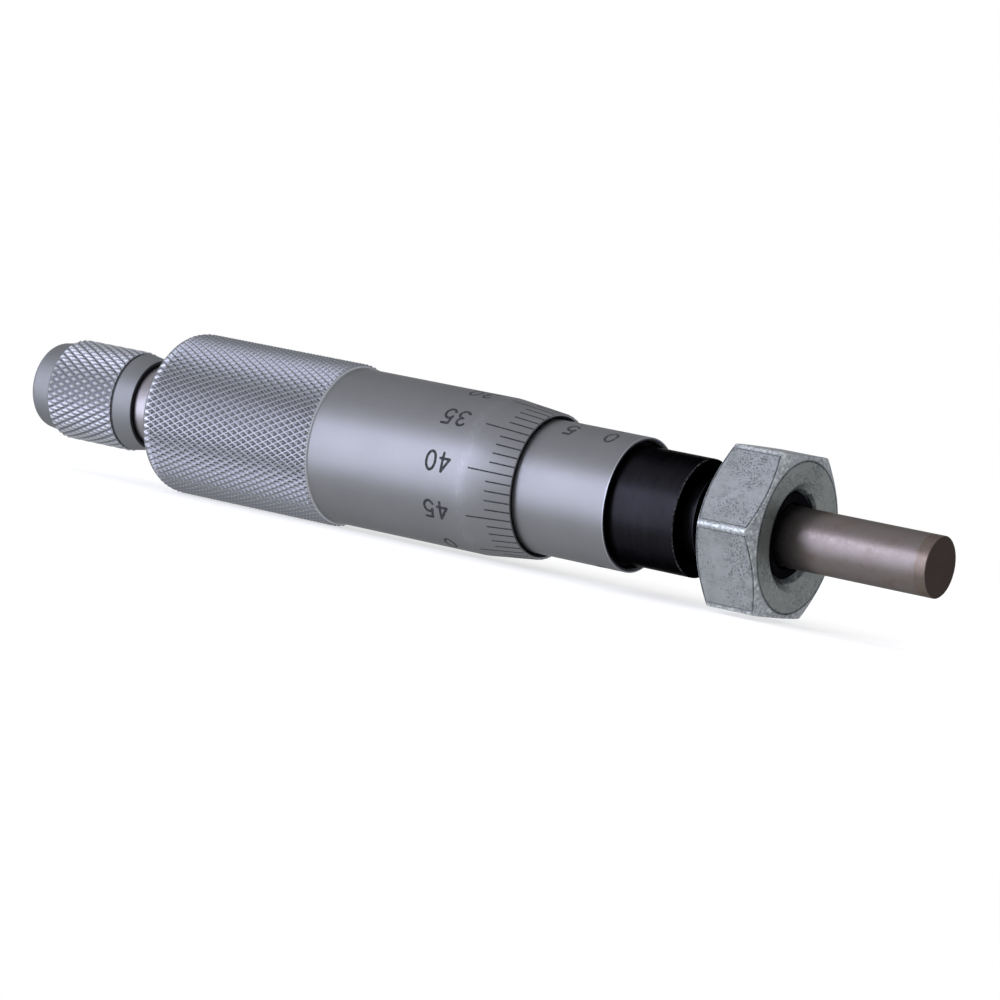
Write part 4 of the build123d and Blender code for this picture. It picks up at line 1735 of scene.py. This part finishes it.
@dataclass
class Studio:
    """The camera, the floor, the lamps and the white surroundings.

    Attributes:
        focal_pixels: the lens's focal length in pixels of the photograph.
        azimuth: where the camera stands, in degrees from -Y towards +X.
        elevation: how far it looks down, in degrees.
        roll: how far it leans, in degrees.
        distance: from the camera to its target, in millimetres.
        clip: the least and the greatest distance that the camera sees.
        target: the point in the middle of the picture.
        floor: the height of the floor.
        floor_reach: half of its width.
        floor_level: how bright it is without the lamps.
        fade_middle: the station round which it fades to white.
        fade_start: how far from there it starts to fade.
        fade_end: where it is white.
        diffuse_level: how strongly the surroundings light matt surfaces.
    """

    focal_pixels: float = 4570.0
    azimuth: float = 32.627
    elevation: float = 2.789
    roll: float = 10.114
    distance: float = 490.03
    clip: tuple[float, float] = (10.0, 20000.0)
    target: tuple[float, float, float] = (-25.253, -0.144, -2.496)
    floor: float = -9.05
    floor_reach: float = 3000.0
    floor_level: float = 0.55
    fade_middle: float = 20.0
    fade_start: float = 80.0
    fade_end: float = 220.0
    diffuse_level: float = 0.6

    def build(self) -> None:
        """Set up the studio."""
        self.place_camera()
        self.lay_floor()
        for window in WINDOWS:
            window.hang(Vector(self.target))
        self.set_world()
        bpy.context.scene.view_settings.view_transform = "Standard"

    def place_camera(self) -> None:
        """Put the camera where the photograph was taken from."""
        camera = bpy.data.cameras.new("camera")
        camera.sensor_width = FILM_WIDTH
        camera.lens = self.focal_pixels / PHOTO_PIXELS * FILM_WIDTH
        camera.clip_start, camera.clip_end = (reach * MM for reach in self.clip)
        holder = show(bpy.data.objects.new("camera", camera))
        away = direction(self.azimuth, self.elevation) * self.distance
        holder.matrix_world = facing(Vector(self.target), away, self.roll)
        bpy.context.scene.camera = holder

    def lay_floor(self) -> None:
        """Lay the white floor, which shows the object's shadow and fades to white further off."""
        shape = bmesh.new()
        bmesh.ops.create_grid(shape, x_segments=1, y_segments=1, size=self.floor_reach * MM)
        floor_piece = show_mesh("floor", shape)
        floor_piece.location.z = self.floor * MM
        # The windows reach lower than the floor, and metal mirrors all of them
        floor_piece.visible_glossy = False
        floor_piece.visible_shadow = False
        paper = bpy.data.materials.new("paper_white_matt")
        paper.use_nodes = True
        tree = paper.node_tree
        tree.nodes.clear()
        sheet = add(tree, "BsdfDiffuse", {"Color": linear("#e6e6e6")}).outputs[0]
        lit = add(tree, "Emission", {"Color": WHITE, "Strength": self.floor_level})
        near = add(tree, "AddShader", {0: sheet, 1: lit.outputs[0]})
        white = add(tree, "Emission", {"Color": WHITE, "Strength": 1.0})
        place = add(tree, "TexCoord").outputs["Object"]
        away = add(tree, "VectorMath", {0: place, 1: (self.fade_middle * MM, 0.0, 0.0)}, operation="DISTANCE")
        fade = add(tree, "MapRange", {
            "Value": away.outputs["Value"], "From Min": self.fade_start * MM, "From Max": self.fade_end * MM},
            interpolation_type="SMOOTHSTEP")
        shown = add(tree, "MixShader", {0: fade.outputs[0], 1: near.outputs[0], 2: white.outputs[0]})
        both = add(tree, "MixShader", {0: self.seen(tree), 1: sheet, 2: shown.outputs[0]})
        add(tree, "OutputMaterial", {0: both.outputs[0]})
        floor_piece.data.materials.append(paper)

    def seen(self, tree: Tree) -> Socket:
        """Tell what the camera sees from what only lights the object.

        Args:
            tree: the node tree.

        Returns:
            1 for what the camera sees, straight or in metal or glass, and 0 otherwise.
        """
        rays = add(tree, "LightPath").outputs
        mirrored = add(tree, "Math", {0: rays["Is Camera Ray"], 1: rays["Is Glossy Ray"]}, operation="ADD")
        inputs = {0: mirrored.outputs[0], 1: rays["Is Transmission Ray"]}
        return add(tree, "Math", inputs, operation="ADD", use_clamp=True).outputs[0]

    def set_world(self) -> None:
        """Surround the object with white, which lights it at a plain level."""
        world = bpy.data.worlds.new("white_surroundings")
        world.use_nodes = True
        tree = world.node_tree
        tree.nodes.clear()
        level = add(tree, "Mix", {0: self.seen(tree), 2: self.diffuse_level, 3: 1.0})
        backdrop = add(tree, "Background", {"Color": WHITE, "Strength": level.outputs[0]})
        add(tree, "OutputWorld", {0: backdrop.outputs[0]})
        bpy.context.scene.world = world


def main() -> None:
    """Build the studio and each sub-assembly."""
    logging.basicConfig(level=logging.INFO, format="%(message)s")
    nose_thread = Thread(pitch=1.0, crest=5.0, root=4.387)
    grip = Knurl(lines=73, crest=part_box("thimble")[1].y / MM, slant=30.0, depth=0.27, flat=0.13, bottom=0.09)
    knob_grip = Knurl(
        lines=41, crest=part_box("ratchet_knob")[1].y / MM, slant=29.5, depth=0.2, flat=0.24, bottom=0.07)
    assemblies = (
        Studio(), Stem(nose_thread), Sleeve(), ClampNut(nose_thread), Spindle(), Thimble(grip),
        RatchetStop(knob_grip))
    for assembly in assemblies:
        assembly.build()
        log.info("built %s", type(assembly).__name__)


if __name__ == "__main__":
    main()
